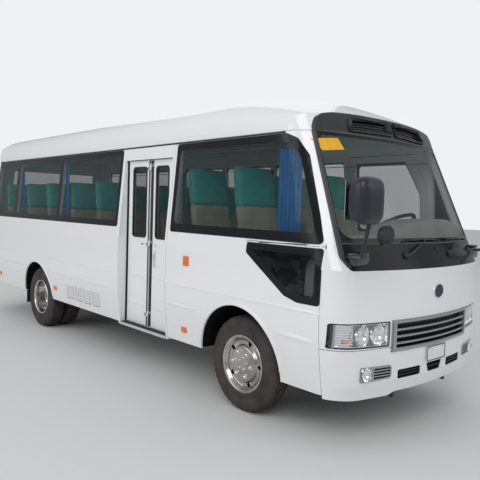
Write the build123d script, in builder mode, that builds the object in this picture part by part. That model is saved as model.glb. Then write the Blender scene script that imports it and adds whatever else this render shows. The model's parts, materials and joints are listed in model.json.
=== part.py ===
"""A seven metre minibus with a folding kerb side door, twin rear wheels and a steered front axle.

Frame: +Z up, origin on the ground at the middle of the overall box, the nose faces -Y and the kerb
side, with the folding door, is -X. Lengths along the bus are given as distances behind the front of
the bumper and turned into Y by at(). All sizes are millimetres.
"""

from build123d import *
import math
import os

os.makedirs("parts", exist_ok=True)

# Overall sizes
overall_length = 6990
roof_height = 2635
mirror_lead = 170
front_y = mirror_lead - (overall_length + mirror_lead) / 2
front_overhang = 1160
wheelbase = 3935

# Body shell
wall = 45
seat_gap = 0.3
panel_gap = 5
base_z = 345
tail_base_z = 388
front_sill_z = 370
sill_z = 425
lower_crease_z = 740
crease_z = 940
bonnet_z = 1240
cant_z = 2215
windscreen_rake = 0.445
nose_setback = 6
nose_arc = 3000
tail_arc = 7000
nose_corner = 250
tail_corner = 220
side_joint = 305
tail_joint = 6740
widest_half = 1020
# One row a level: height, half width, setback of the nose, setback of the tail
body_levels = (
    (base_z, 955, 30, 68),
    (sill_z + 30, 972, 6, 56),
    (lower_crease_z, 1010, 0, 42),
    (crease_z, widest_half, 0, 32),
    (bonnet_z, 1013, nose_setback, 40),
    (cant_z, 928, nose_setback + (cant_z - bonnet_z) * windscreen_rake, 120),
)

# Roof
roof_half = 932
shoulder_z = cant_z + 15
shoulder_share = 0.74
front_shoulder_share = 0.5
roof_front_arc = 2450
roof_flat_start = 1600
roof_front_stations = (330, 640, 1060, roof_flat_start)
roof_rear_arc = 420
roof_flat_end = 6560
roof_rear_stations = (roof_flat_end, 6700, 6830, 6905)
roof_cap_top = 2700

# Wheels and running gear
tyre_radius = 387.5
tyre_width = 190
rim_radius = 222
bead_radius = 203
front_track = 1665
kingpin_inset = 100
steer_limit = 35
twin_spacing = 220
rear_outer_x = 852.5
arch_z = 400
front_arch_radius = 470
rear_arch_radius = 452
hub_radius = 62
spindle_radius = 24
spindle_clearance = 0.4
cover_radius = 236
lug_circle = 102

# Floors
floor_z = 800
floor_thickness = 40
cab_well_z = 690
cab_step = 640
platform_end = 2100
wheel_house_plate = 15
platform_z = arch_z + front_arch_radius + wheel_house_plate + 2 + floor_thickness

# Windows, doors and openings
window_bottom = 1405
window_top = 2195
doorway_front = 2125
doorway_rear = 3015
doorway_bottom = 405
header_bottom = 2080
leaf_thickness = 30
leaf_outer_x = -912
jamb_inner_x = -845
jamb_width = 26
front_window_nose = 318
mullions = (4505, 5895)
rear_window_end = 6690
left_mullions = (2700, 3600, 4505, 5895)
frame_border = 38
mullion_width = 56
pane_thickness = 6
pane_inset = 3
glass_margin = 4
band_depth = pane_inset + pane_thickness
quarter_top = 1381
driver_door_front = 660
driver_door_rear = 1560
driver_door_bottom = 905
roof_split = 2252
surround_top = 2378
windscreen_bottom = 1420
windscreen_top = cant_z
bumper_top = 697
lamp_top = 888
grille_half = 530
lamp_corners = ((545, 706), (990, 712), (992, 886), (545, 884))
louvre_front = 3395
louvre_rear = 4245
louvre_z = (500, 680)
grille_proud = 8
grille_bottom = 662
grille_slats = (712, 760, 808)
fog_x = 722
fog_z = 524
fog_depth = 118
scoop_depth = 26
plate_lead = 8
tail_plate_d = 6950
tail_plate_z = 470
tail_bumper_top = 640
hatch_half = 440
hatch_bottom = 700
hatch_top = 1330
tail_lamp_corners = ((700, 800), (850, 800), (850, 1180), (700, 1180))
door_gap = 6
pin_gap = 0.3
hatch_hinge_x = (-260, 200)
hatch_hinge_z = hatch_top + 8
hatch_hinge_y = front_y + overall_length - 47 + 17
tail_surface_y = front_y + overall_length - 52
jamb_front_end = 2152
jamb_rear_start = 2977
leaf_front = 2158
leaf_centre = 2564
leaf_rear = 2970
leaf_gap = 10
leaf_bottom = 440
leaf_top = 2076
leaf_window_front = (2256, 2462)
leaf_window_rear = (2632, 2876)
leaf_window_z = (1322, 2006)
post_inset = 14
post_radius = 9
post_x = leaf_outer_x + leaf_thickness
pin_x = leaf_outer_x - 2
knuckle_radius = 8
knuckle_height = 28
hinge_stations = (540, 1236, 1980)
plate = 15
step_z = 430
step_mid_z = 615
well_outer_x = -905
well_mid_x = -440
well_inner_x = -215
step_edge_x = -985
driver_x = 450
driver_d = 1350
door_hinge_x = widest_half + 14
door_hinge_z = (960, 1310)
marker_table = ((1815, 1162, 36, 42), (1858, 545, 34, 24), (4536, 577, 34, 24), (6445, 560, 34, 24))
rail_inner = 340
rail_outer = 400
rail_bottom = 470
rail_top = 590
bearer_bottom = floor_z - floor_thickness - 60
post_table = (
    (200, cab_well_z - floor_thickness),
    (560, cab_well_z - floor_thickness),
    (1700, platform_z - floor_thickness),
    (2030, platform_z - floor_thickness),
    (3100, bearer_bottom - seat_gap),
    (3900, bearer_bottom - seat_gap),
    (4560, bearer_bottom - seat_gap),
    (5650, bearer_bottom - seat_gap),
    (6500, bearer_bottom - seat_gap),
)
bearer_d = (3100, 3900, 4560, 5650, 6500)
bearer_half = 930
cross_member_d = (260, 3300, 4300, 5900, 6700)
tow_eye_d = (150, 6830)
tow_eye_z = 322
tow_eye_radius = 18
kingpin_radius = 17
rear_spindle_radius = 30
rear_spindle_end = 832
house_inner = 500
house_top = 870
tyre_profile = (
    (-68, bead_radius + 1), (-94, 262), (-93, 345), (-74, tyre_radius),
    (74, tyre_radius), (93, 345), (94, 262), (68, bead_radius + 1),
)
rim_profile = (
    (-84, 190), (84, 190), (84, rim_radius), (77, rim_radius), (72, bead_radius),
    (-72, bead_radius), (-77, rim_radius), (-84, rim_radius),
)
cover_profile = (
    (52, 0), (104, 0), (100, 52), (72, 74), (60, 150), (84, 206), (92, cover_radius),
    (86, cover_radius), (76, 190), (52, 150),
)
seat_width = 425
seat_height = 430
seat_top_front = 1985
seat_top_rear = 1890
# One row a seat: the edge nearer the kerb side, front of its back
seat_table = (
    (-858, 1300), (-858, 1930), (-858, 3700), (-858, 4380), (-858, 5060), (-858, 5740),
    (3, 1930), (433, 1930), (3, 3020), (433, 3020), (3, 3700), (433, 3700),
    (3, 4380), (433, 4380), (3, 5060), (433, 5060), (3, 5740), (433, 5740),
    (-858, 6500), (-427, 6500), (3, 6500), (433, 6500),
)
dash_rear = 480
dash_bottom = 1040
dash_top = 1300
# One row a curtain: side, distance of its front edge, width
curtain_table = (
    (-1, 620, 250), (-1, 4420, 120), (-1, 5830, 120), (-1, 3080, 110),
    (1, 2640, 120), (1, 3540, 120), (1, 4420, 120), (1, 5830, 120),
)

front_axle_d = front_overhang
rear_axle_d = front_overhang + wheelbase


def at(distance):
    """Y of a point that lies this far behind the front of the bumper."""
    return front_y + distance


def write(part, name):
    """Labels a finished piece and writes it as one STEP file."""
    part.label = name
    export_step(part, f"parts/{name}.step")


def end_arcs(half_width, end_y, big_arc, corner, sense):
    """Points of one rounded end of a plan outline: side, corner, end arc, corner, side."""
    centre_y = end_y + sense * big_arc
    corner_x = half_width - corner
    corner_y = centre_y - sense * math.sqrt((big_arc - corner) ** 2 - corner_x**2)
    reach = big_arc / (big_arc - corner)
    touch = (corner_x * reach, centre_y + (corner_y - centre_y) * reach)
    turn = math.atan2(touch[1] - corner_y, touch[0] - corner_x) / 2
    middle = (corner_x + corner * math.cos(turn), corner_y + corner * math.sin(turn))
    return (half_width, corner_y), middle, touch


def plan_outline(level, inset):
    """Plan outline of the body at one row of body_levels, moved inward by inset."""
    height, half_width, nose, tail = level
    half = half_width - inset
    nose_y = at(nose) + inset
    tail_y = at(overall_length - tail) - inset
    f_side, f_mid, f_touch = end_arcs(half, nose_y, nose_arc - inset, nose_corner - inset, 1)
    r_side, r_mid, r_touch = end_arcs(half, tail_y, tail_arc - inset, tail_corner - inset, -1)

    def left(point):
        return (-point[0], point[1])

    with BuildSketch(Plane.XY.offset(height)) as outline:
        with BuildLine():
            Line(r_side, f_side)
            ThreePointArc(f_side, f_mid, f_touch)
            ThreePointArc(f_touch, (0, nose_y), left(f_touch))
            ThreePointArc(left(f_touch), left(f_mid), left(f_side))
            Line(left(f_side), left(r_side))
            ThreePointArc(left(r_side), left(r_mid), left(r_touch))
            ThreePointArc(left(r_touch), (0, tail_y), r_touch)
            ThreePointArc(r_touch, r_mid, r_side)
        make_face()
    return outline.sketch


def roof_section(distance, crown_z, inset):
    """Closed roof section at one station: two shoulder arcs and a crown arc over a flat base."""
    half = roof_half - inset
    rise = crown_z - inset - shoulder_z
    ahead = max(0, (roof_flat_start - distance) / (roof_flat_start - roof_front_stations[0]))
    shoulder = (shoulder_share - (shoulder_share - front_shoulder_share) * ahead) * rise
    across = half - shoulder
    crown = (shoulder**2 - across**2 - rise**2) / (2 * (shoulder - rise))
    centre_z = crown_z - inset - crown
    reach = crown / (crown - shoulder)
    touch = (across * reach, centre_z + (shoulder_z - centre_z) * reach)
    turn = math.atan2(touch[1] - shoulder_z, touch[0] - across) / 2
    middle = (across + shoulder * math.cos(turn), shoulder_z + shoulder * math.sin(turn))

    def left(point):
        return (-point[0], point[1])

    side = (half, shoulder_z)
    with BuildSketch(Plane.XZ.offset(-at(distance))) as section:
        with BuildLine():
            Line((half, cant_z), side)
            ThreePointArc(side, middle, touch)
            ThreePointArc(touch, (0, crown_z - inset), left(touch))
            ThreePointArc(left(touch), left(middle), left(side))
            Line(left(side), (-half, cant_z))
            Line((-half, cant_z), (half, cant_z))
        make_face()
    return section.sketch


def crown_at(distance):
    """Height of the roof's centre line at this distance behind the bumper."""
    if distance < roof_flat_start:
        gone = roof_flat_start - distance
        return roof_height - (roof_front_arc - math.sqrt(roof_front_arc**2 - gone**2))
    if distance > roof_flat_end:
        gone = distance - roof_flat_end
        return roof_height - (roof_rear_arc - math.sqrt(roof_rear_arc**2 - gone**2))
    return roof_height


def body_volume(inset):
    """The closed outer form of the body, moved inward by inset, from the sill to the roof."""
    with BuildPart() as lower:
        for level in body_levels:
            add(plan_outline(level, inset))
        loft(ruled=True)
    cap_nose = nose_setback + (roof_cap_top - bonnet_z) * windscreen_rake
    with BuildPart() as cap:
        for height, nose in ((cant_z, body_levels[-1][2]), (roof_cap_top, cap_nose)):
            add(plan_outline((height, roof_half + 6, nose, body_levels[-1][3] - 4), inset))
        loft(ruled=True)
    with BuildPart() as roof:
        for stations in (roof_front_stations, roof_rear_stations):
            for station in stations:
                add(roof_section(station, crown_at(station), inset))
            loft()
        add(roof_section(roof_flat_start, roof_height, inset))
        add(roof_section(roof_flat_end, roof_height, inset))
        loft(ruled=True)
        add(cap.part, mode=Mode.INTERSECT)
        add(lower.part)
    return roof.part


def slab(x, y, z, mode=Mode.ADD):
    """A box in the open part, from its low and high limits along each axis."""
    with Locations(((x[0] + x[1]) / 2, (y[0] + y[1]) / 2, (z[0] + z[1]) / 2)):
        Box(x[1] - x[0], y[1] - y[0], z[1] - z[0], mode=mode)


def rod(start, end, radius, mode=Mode.ADD):
    """A round bar in the open part between two points."""
    reach = Vector(*end) - Vector(*start)
    with BuildSketch(Plane(origin=start, z_dir=tuple(reach))) as disc:
        Circle(radius)
    extrude(disc.sketch, amount=reach.length, mode=mode)


def drawn_in(points, margin):
    """Corners of a closed outline, moved inward so that its sides come in by the margin."""
    follow = [*points[1:], points[0]]
    area = sum(x0 * z1 - x1 * z0 for (x0, z0), (x1, z1) in zip(points, follow))
    reach = math.copysign(margin, area)
    sides = [(x1 - x0, z1 - z0) for (x0, z0), (x1, z1) in zip(points, follow)]
    ways = [(x / math.hypot(x, z), z / math.hypot(x, z)) for x, z in sides]
    moved = []
    for (x, z), (ax, az), (bx, bz) in zip(points, [ways[-1], *ways], ways):
        scale = reach / (1 + ax * bx + az * bz)
        moved.append((x - (az + bz) * scale, z + (ax + bx) * scale))
    return moved


def outline_face(points, plane, corner, margin):
    """Sketch of a closed outline, drawn in by the margin and rounded."""
    with BuildSketch(plane) as outline:
        with BuildLine():
            Polyline(*drawn_in(points, margin), close=True)
        make_face()
        if corner:
            fillet(outline.vertices(), max(corner - margin, corner / 3))
    return outline.sketch


def side_prism(points, side, corner=0, margin=0):
    """Prism through one flank; points are (distance behind the bumper, height)."""
    placed = [(at(distance), height) for distance, height in points]
    with BuildPart() as prism:
        extrude(outline_face(placed, Plane.YZ, corner, margin), amount=side * 1200)
    return prism.part


def end_prism(points, start, depth, corner=0, margin=0):
    """Prism along the bus from Y = at(start) towards the nose (depth > 0) or the tail."""
    with BuildPart() as prism:
        extrude(outline_face(points, Plane.XZ.offset(-at(start)), corner, margin), amount=depth)
    return prism.part


def mirrored(points):
    """Outline made from its +X half, listed upwards, and the mirror image of it."""
    return [*points, *[(-x, z) for x, z in reversed(points)]]


def box_outline(x, z):
    return [(x[0], z[0]), (x[1], z[0]), (x[1], z[1]), (x[0], z[1])]


def lamp_outline(side):
    """Outline of one headlamp opening in the nose, seen from the front."""
    return [(side * x, z) for x, z in lamp_corners]


def fog_outline(side, shrink):
    """Outline of one fog lamp opening in the bumper, drawn in by the shrink."""
    corners = ((515 + shrink, 480 + shrink), (795 - shrink, 472 + shrink),
               (795 - shrink, 578 - shrink), (515 + shrink, 572 - shrink))
    return [(side * x, z) for x, z in corners]


outer = body_volume(0)
inner = body_volume(wall)
shell = outer - inner
pane = body_volume(pane_inset)
band_core = body_volume(band_depth)


def skin(prism, near, far):
    """The layer of the body between two of its inset forms, inside the prism."""
    return (near & prism) - far


# Openings of the flanks, as (distance, height) outlines
front_window = (
    (doorway_front - jamb_width, window_bottom),
    (front_window_nose, window_bottom),
    (front_window_nose + 68, 1607),
    (front_window_nose + 228, 2030),
    (front_window_nose + 330, 2155),
    (front_window_nose + 425, window_top),
    (doorway_front - jamb_width, window_top),
)
quarter_glass = (
    (1062, quarter_top),
    (1062, 1300),
    (640, 1022),
    (512, 988),
    (side_joint + 1, 988),
    (front_window_nose - 6, quarter_top),
)
rear_band = (
    (doorway_rear + jamb_width, window_bottom),
    (rear_window_end, window_bottom),
    (rear_window_end, window_top),
    (doorway_rear + jamb_width, window_top),
)
left_quarter = (
    (driver_door_front - 24, quarter_top),
    (driver_door_front - 24, 1030),
    (512, 988),
    (side_joint + 1, 988),
    (front_window_nose - 6, quarter_top),
)
left_front = (
    (driver_door_front - 24, window_bottom),
    (front_window_nose, window_bottom),
    (front_window_nose + 68, 1607),
    (front_window_nose + 228, 2030),
    (driver_door_front - 24, 2150),
)
left_band = (
    (driver_door_rear + 30, window_bottom),
    (rear_window_end, window_bottom),
    (rear_window_end, window_top),
    (driver_door_rear + 30, window_top),
)
door_outline = (
    (driver_door_front, driver_door_bottom),
    (driver_door_rear, driver_door_bottom),
    (driver_door_rear, window_top + 10),
    (driver_door_front + 150, window_top + 10),
    (driver_door_front, 1900),
)
door_window = (
    (driver_door_front + 45, window_bottom),
    (driver_door_rear - 45, window_bottom),
    (driver_door_rear - 45, window_top - 30),
    (driver_door_front + 220, window_top - 30),
    (driver_door_front + 45, 1830),
)

# The dark surround of the windscreen, from the cowl to the roof vents
surround = mirrored((
    (890, bonnet_z),
    (928, bonnet_z + 85),
    (838, 2245),
    (806, 2312),
    (736, 2350),
    (600, surround_top),
))
surround_prism = end_prism(surround, 800, 1300, 30)


def band_cut(windows, side, pillars):
    """Cuts the glazing rebates and the openings inside them out of the open part."""
    for points, corner in windows:
        add(side_prism(points, side, corner) - band_core, mode=Mode.SUBTRACT)
        distances = [distance for distance, _ in points]
        posts = [post for post in pillars if min(distances) < post < max(distances)]
        if not posts:
            add(side_prism(points, side, corner, frame_border), mode=Mode.SUBTRACT)
            continue
        edges = [min(distances) + frame_border]
        for post in posts:
            edges += [post - mullion_width / 2, post + mullion_width / 2]
        edges.append(max(distances) - frame_border)
        heights = (window_bottom + frame_border, window_top - frame_border)
        for bay in zip(edges[::2], edges[1::2]):
            add(side_prism(box_outline(bay, heights), side), mode=Mode.SUBTRACT)


def arch_cut(side):
    """Cuts both wheel arches of one flank out of the open part."""
    for axle, radius in ((front_axle_d, front_arch_radius), (rear_axle_d, rear_arch_radius)):
        rod((side * 600, at(axle), arch_z), (side * 1200, at(axle), arch_z), radius, Mode.SUBTRACT)


def flank(side):
    """One body side with its windscreen pillar, still without window openings."""
    x = (0, side * 1200) if side > 0 else (side * 1200, 0)
    with BuildPart() as region:
        slab(x, (at(side_joint + panel_gap), at(tail_joint)), (sill_z, roof_split - seat_gap))
        slab(x, (at(0), at(side_joint + panel_gap)), (bonnet_z + seat_gap, roof_split - seat_gap))
        slab(x, (at(side_joint + panel_gap), at(front_axle_d)), (front_sill_z, sill_z))
    return (shell & region.part) - surround_prism


right_windows = ((front_window, 30), (quarter_glass, 25), (rear_band, 30))
left_windows = ((left_front, 20), (left_quarter, 20), (left_band, 30))

with BuildPart() as side_panel_right:
    add(flank(-1))
    band_cut(right_windows, -1, mullions)
    arch_cut(-1)
    doorway = ((doorway_front, doorway_bottom), (doorway_rear, doorway_bottom),
               (doorway_rear, window_top), (doorway_front, window_top))
    add(side_prism(doorway, -1), mode=Mode.SUBTRACT)
    slab((-1200, -900), (at(louvre_front), at(louvre_rear)), louvre_z, Mode.SUBTRACT)
write(side_panel_right.part, "side_panel_right")

with BuildPart() as side_panel_left:
    add(flank(1))
    band_cut(left_windows, 1, left_mullions)
    arch_cut(1)
    add(side_prism(door_outline, 1, 20), mode=Mode.SUBTRACT)
    hinge_y = at(driver_door_front)
    for low in door_hinge_z:
        rod((door_hinge_x, hinge_y, low - 20), (door_hinge_x, hinge_y, low + 70), 4)
        for lug in (low - 21, low + 51):
            slab((970, door_hinge_x + 8), (hinge_y - 20, hinge_y), (lug, lug + 20))
            slab((door_hinge_x - 8, door_hinge_x + 8), (hinge_y - 20, hinge_y + 8), (lug, lug + 20))
write(side_panel_left.part, "side_panel_left")

for name, side, windows in (("right", -1, right_windows), ("left", 1, left_windows)):
    with BuildPart() as glazing:
        for points, corner in windows:
            add(skin(side_prism(points, side, corner, glass_margin), pane, band_core))
    write(glazing.part, f"windows_{name}")

with BuildPart() as roof_panel:
    add(shell)
    slab((-1200, 1200), (-4000, 4000), (0, roof_split), Mode.SUBTRACT)
    add(surround_prism, mode=Mode.SUBTRACT)
write(roof_panel.part, "roof_panel")

with BuildPart() as front_panel:
    add(shell)
    slab((-1200, 1200), (at(side_joint), 4000), (0, 3000), Mode.SUBTRACT)
    slab((-1200, 1200), (-4000, 4000), (0, bumper_top + panel_gap), Mode.SUBTRACT)
    slab((-1200, 1200), (-4000, 4000), (bonnet_z, 3000), Mode.SUBTRACT)
    slab((-grille_half, grille_half), (-4000, at(400)), (0, lamp_top), Mode.SUBTRACT)
    for side in (-1, 1):
        add(end_prism(lamp_outline(side), 400, 500, 12), mode=Mode.SUBTRACT)
write(front_panel.part, "front_panel")

surround_gap = end_prism(surround, 800, 1300, 30, seat_gap)
with BuildPart() as windscreen:
    add(skin(surround_gap, pane, band_core))
    slab((-1200, 1200), (-4000, 4000), (0, windscreen_bottom + seat_gap), Mode.SUBTRACT)
    slab((-1200, 1200), (-4000, 4000), (windscreen_top - seat_gap, 3000), Mode.SUBTRACT)
write(windscreen.part, "windscreen")

with BuildPart() as cowl_panel:
    add(shell & surround_gap)
    slab((-1200, 1200), (-4000, 4000), (windscreen_bottom, 3000), Mode.SUBTRACT)
write(cowl_panel.part, "cowl_panel")

with BuildPart() as roof_vent_panel:
    add(shell & surround_gap)
    slab((-1200, 1200), (-4000, 4000), (0, windscreen_top), Mode.SUBTRACT)
    for side in (-1, 1):
        scoop = [(side * x, z) for x, z in ((36, 2262), (500, 2250), (470, 2330), (36, 2345))]
        cut = end_prism(scoop, 800, 1300)
        add(cut - body_volume(scoop_depth), mode=Mode.SUBTRACT)
write(roof_vent_panel.part, "roof_vent_panel")

# Nose: bumper with its openings, grille, lamps, plate and emblem
with BuildPart() as front_bumper:
    add(shell)
    slab((-1200, 1200), (at(side_joint), 4000), (0, 3000), Mode.SUBTRACT)
    slab((-1200, 1200), (-4000, 4000), (bumper_top, 3000), Mode.SUBTRACT)
    slab((-grille_half, grille_half), (-4000, at(400)), (grille_bottom, 3000), Mode.SUBTRACT)
    under = mirrored(((560, base_z - 20), (450, base_z + 22)))
    add(end_prism(under, 400, 500), mode=Mode.SUBTRACT)
    for side in (-1, 1):
        intake = [(side * x, z) for x, z in ((185, 460), (445, 460), (445, 526), (185, 526))]
        add(end_prism(intake, 400, 500, 12), mode=Mode.SUBTRACT)
        add(end_prism(fog_outline(side, 0), 400, 500, 18), mode=Mode.SUBTRACT)
    centre = mirrored(((85, 460), (112, 530)))
    add(end_prism(centre, 400, 500, 12), mode=Mode.SUBTRACT)
write(front_bumper.part, "front_bumper")

proud = body_volume(-grille_proud)
slat_core = body_volume(26)
with BuildPart() as grille:
    side_x = grille_half - seat_gap
    frame_form = end_prism(
        mirrored(((side_x, grille_bottom + seat_gap), (side_x, lamp_top - seat_gap))), 400, 500, 14)
    hole_outline = mirrored(((side_x - 44, grille_bottom + 26), (side_x - 44, lamp_top - 24)))
    hole = end_prism(hole_outline, 400, 500, 8)
    add(skin(frame_form - hole, proud, inner))
    for height in grille_slats:
        bar = end_prism(box_outline((1 - grille_half, grille_half - 1), (height, height + 22)), 400, 500)
        add(skin(bar & frame_form, outer, slat_core))
write(grille.part, "grille")

lens_form = body_volume(2)
lamp_back = body_volume(110)
lamp_core = body_volume(95)
with BuildPart() as headlamp_housings:
    for side in (-1, 1):
        add(skin(end_prism(lamp_outline(side), 400, 500, 12, seat_gap), band_core, lamp_back))
        add(end_prism(lamp_outline(side), 400, 500, 10, 14) - lamp_core, mode=Mode.SUBTRACT)
    slab((-1200, 1200), (at(side_joint), at(600)), (0, 2000), Mode.SUBTRACT)
write(headlamp_housings.part, "headlamp_housings")

with BuildPart() as headlamp_lenses:
    for side in (-1, 1):
        add(skin(end_prism(lamp_outline(side), 400, 500, 12, seat_gap), lens_form, band_core))
    slab((-1200, 1200), (at(side_joint), at(600)), (0, 2000), Mode.SUBTRACT)
write(headlamp_lenses.part, "headlamp_lenses")

with BuildPart() as fog_lamps:
    for side in (-1, 1):
        add(skin(end_prism(fog_outline(side, seat_gap), 400, 500, 18 - seat_gap), proud, inner))
        lamp_y = at(fog_depth)
        rod((side * fog_x, lamp_y, fog_z), (side * fog_x, lamp_y - 200, fog_z), 44, Mode.SUBTRACT)
        rod((side * fog_x, lamp_y + 32, fog_z), (side * fog_x, lamp_y - 1, fog_z), 48)
write(fog_lamps.part, "fog_lamps")

with BuildPart() as number_plates:
    slab((-130, 130), (at(-plate_lead), at(-plate_lead + 4)), (545, 655))
    slab((-168, 168), (at(tail_plate_d), at(tail_plate_d + 4)), (tail_plate_z, tail_plate_z + 130))
    for low in (-110, 80):
        slab((low, low + 30), (at(-plate_lead + 2), at(30)), (590, 620))
        slab((low, low + 30), (at(tail_plate_d - 30), at(tail_plate_d + 2)),
             (tail_plate_z + 50, tail_plate_z + 80))
    add(outer, mode=Mode.SUBTRACT)
write(number_plates.part, "number_plates")

with BuildPart() as nose_emblem:
    with BuildSketch(Plane.XZ.offset(-at(nose_setback + 6))):
        with Locations((0, 1065)):
            Ellipse(62, 50)
    extrude(amount=18)
    add(front_panel.part, mode=Mode.SUBTRACT)
write(nose_emblem.part, "nose_emblem")

# Tail: panel, bumper, window, luggage hatch and lamps
tail_window = mirrored(((740, 1450), (700, 2140)))
hatch_outline = mirrored(((hatch_half, hatch_bottom), (hatch_half, hatch_top)))
with BuildPart() as rear_panel:
    add(shell)
    slab((-1200, 1200), (-4000, at(tail_joint + panel_gap)), (0, 3000), Mode.SUBTRACT)
    slab((-1200, 1200), (-4000, 4000), (0, tail_bumper_top + panel_gap), Mode.SUBTRACT)
    slab((-1200, 1200), (-4000, 4000), (roof_split - seat_gap, 3000), Mode.SUBTRACT)
    add(end_prism(tail_window, 6500, -900, 40) - band_core, mode=Mode.SUBTRACT)
    add(end_prism(tail_window, 6500, -900, 40, frame_border), mode=Mode.SUBTRACT)
    add(end_prism(hatch_outline, 6500, -900, 30), mode=Mode.SUBTRACT)
    for side in (-1, 1):
        cluster = [(side * x, z) for x, z in tail_lamp_corners]
        add(end_prism(cluster, 6500, -900, 20) - band_core, mode=Mode.SUBTRACT)
    for x in hatch_hinge_x:
        ends = [(x + reach, hatch_hinge_y, hatch_hinge_z) for reach in (-22, 82)]
        rod(*ends, 4)
        for low in (x - 22, x + 62):
            slab((low, low + 20), (tail_surface_y - 14, hatch_hinge_y + 8), (hatch_top, hatch_top + 22))
write(rear_panel.part, "rear_panel")

with BuildPart() as rear_window:
    add(skin(end_prism(tail_window, 6500, -900, 40, glass_margin), pane, band_core))
write(rear_window.part, "rear_window")

with BuildPart() as tail_lamps:
    for side in (-1, 1):
        cluster = [(side * x, z) for x, z in tail_lamp_corners]
        add(skin(end_prism(cluster, 6500, -900, 20, 3), proud, band_core))
write(tail_lamps.part, "tail_lamps")

with BuildPart() as rear_bumper:
    add(shell)
    slab((-1200, 1200), (-4000, at(tail_joint)), (0, 3000), Mode.SUBTRACT)
    slab((-1200, 1200), (-4000, 4000), (tail_bumper_top, 3000), Mode.SUBTRACT)
    slab((-1200, 1200), (-4000, 4000), (0, tail_base_z), Mode.SUBTRACT)
write(rear_bumper.part, "rear_bumper")

door_core = body_volume(wall - 4)
with BuildPart() as rear_hatch:
    add(skin(end_prism(hatch_outline, 6500, -900, 24, door_gap), outer, door_core))
    for x in hatch_hinge_x:
        slab((x, x + 60), (tail_surface_y - 14, hatch_hinge_y + 4), (hatch_top - 48, hatch_top - 18))
        slab((x, x + 60), (hatch_hinge_y - 4, hatch_hinge_y + 4), (hatch_top - 48, hatch_hinge_z))
        rod((x, hatch_hinge_y, hatch_hinge_z), (x + 60, hatch_hinge_y, hatch_hinge_z), 9)
        ends = [(x + reach, hatch_hinge_y, hatch_hinge_z) for reach in (-1, 61)]
        rod(*ends, 4 + pin_gap, Mode.SUBTRACT)
write(rear_hatch.part, "rear_hatch")

# Kerb side doorway: jambs and header, step well and the two folding leaves
with BuildPart() as door_surround:
    jambs = ((doorway_front + seat_gap, jamb_front_end), (jamb_rear_start, doorway_rear - seat_gap))
    for low, high in jambs:
        slab((-1200, jamb_inner_x), (at(low), at(high)), (doorway_bottom, window_top - seat_gap))
    slab((-1200, jamb_inner_x), (at(doorway_front + 1), at(doorway_rear - 1)),
         (header_bottom, window_top - seat_gap))
    add(proud, mode=Mode.INTERSECT)
    post_y = at(leaf_rear - post_inset)
    ends = [(post_x, post_y, header_bottom + reach) for reach in (-5, 18)]
    rod(*ends, post_radius + pin_gap, Mode.SUBTRACT)
write(door_surround.part, "door_surround")

with BuildPart() as step_well:
    low, high = at(jamb_front_end + seat_gap), at(jamb_rear_start - seat_gap)
    slab((well_outer_x, well_mid_x), (low, high), (doorway_bottom, step_z))
    slab((well_mid_x - plate, well_mid_x), (low, high), (step_z, step_mid_z))
    slab((well_mid_x - plate, well_inner_x), (low, high), (step_mid_z - plate, step_mid_z))
    slab((well_inner_x - plate, well_inner_x), (low, high), (step_mid_z, floor_z))
    for y in (low, high - plate):
        slab((well_outer_x + 60, well_inner_x), (y, y + plate), (step_mid_z, floor_z))
        slab((well_outer_x + 60, well_mid_x), (y, y + plate), (step_z, step_mid_z))
    slab((step_edge_x, well_outer_x), (low, high), (doorway_bottom, step_z))
    rod((post_x, post_y, step_z - 15), (post_x, post_y, step_z + 5), post_radius + pin_gap, Mode.SUBTRACT)
write(step_well.part, "step_well")

leaf_x = (leaf_outer_x, leaf_outer_x + leaf_thickness)
pin_y = at(leaf_centre)
glass_x = (leaf_outer_x + 12, leaf_outer_x + 18)

with BuildPart() as door_leaf_rear:
    slab(leaf_x, (at(leaf_centre) + leaf_gap, at(leaf_rear)), (leaf_bottom, leaf_top))
    slab(leaf_x, (at(leaf_window_rear[0]), at(leaf_window_rear[1])), leaf_window_z, Mode.SUBTRACT)
    rod((post_x, post_y, step_z - 12), (post_x, post_y, header_bottom + 15), post_radius)
    for z in hinge_stations:
        rod((pin_x, pin_y, z), (pin_x, pin_y, z + knuckle_height), knuckle_radius)
        slab((pin_x - 5, pin_x + 8), (pin_y, pin_y + leaf_gap + 4), (z, z + knuckle_height))
        rod((pin_x, pin_y, z), (pin_x, pin_y, z + 2 * knuckle_height), 3)
write(door_leaf_rear.part, "door_leaf_rear")

with BuildPart() as door_leaf_front:
    slab(leaf_x, (at(leaf_front), at(leaf_centre) - leaf_gap), (leaf_bottom, leaf_top))
    slab(leaf_x, (at(leaf_window_front[0]), at(leaf_window_front[1])), leaf_window_z, Mode.SUBTRACT)
    for z in hinge_stations:
        low, high = z + knuckle_height + 0.5, z + 2 * knuckle_height
        rod((pin_x, pin_y, low), (pin_x, pin_y, high), knuckle_radius)
        slab((pin_x - 5, pin_x + 8), (pin_y - leaf_gap - 4, pin_y), (low, high))
        rod((pin_x, pin_y, low - 1), (pin_x, pin_y, high + 1), 3 + pin_gap, Mode.SUBTRACT)
    slab((leaf_outer_x - 8, leaf_outer_x), (at(2452), at(2468)), (1040, 1200))
write(door_leaf_front.part, "door_leaf_front")

for name, window in (("rear", leaf_window_rear), ("front", leaf_window_front)):
    with BuildPart() as leaf_glass:
        span = (at(window[0]) + seat_gap, at(window[1]) - seat_gap)
        slab(glass_x, span, (leaf_window_z[0] + seat_gap, leaf_window_z[1] - seat_gap))
    write(leaf_glass.part, f"door_glass_{name}")

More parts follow.
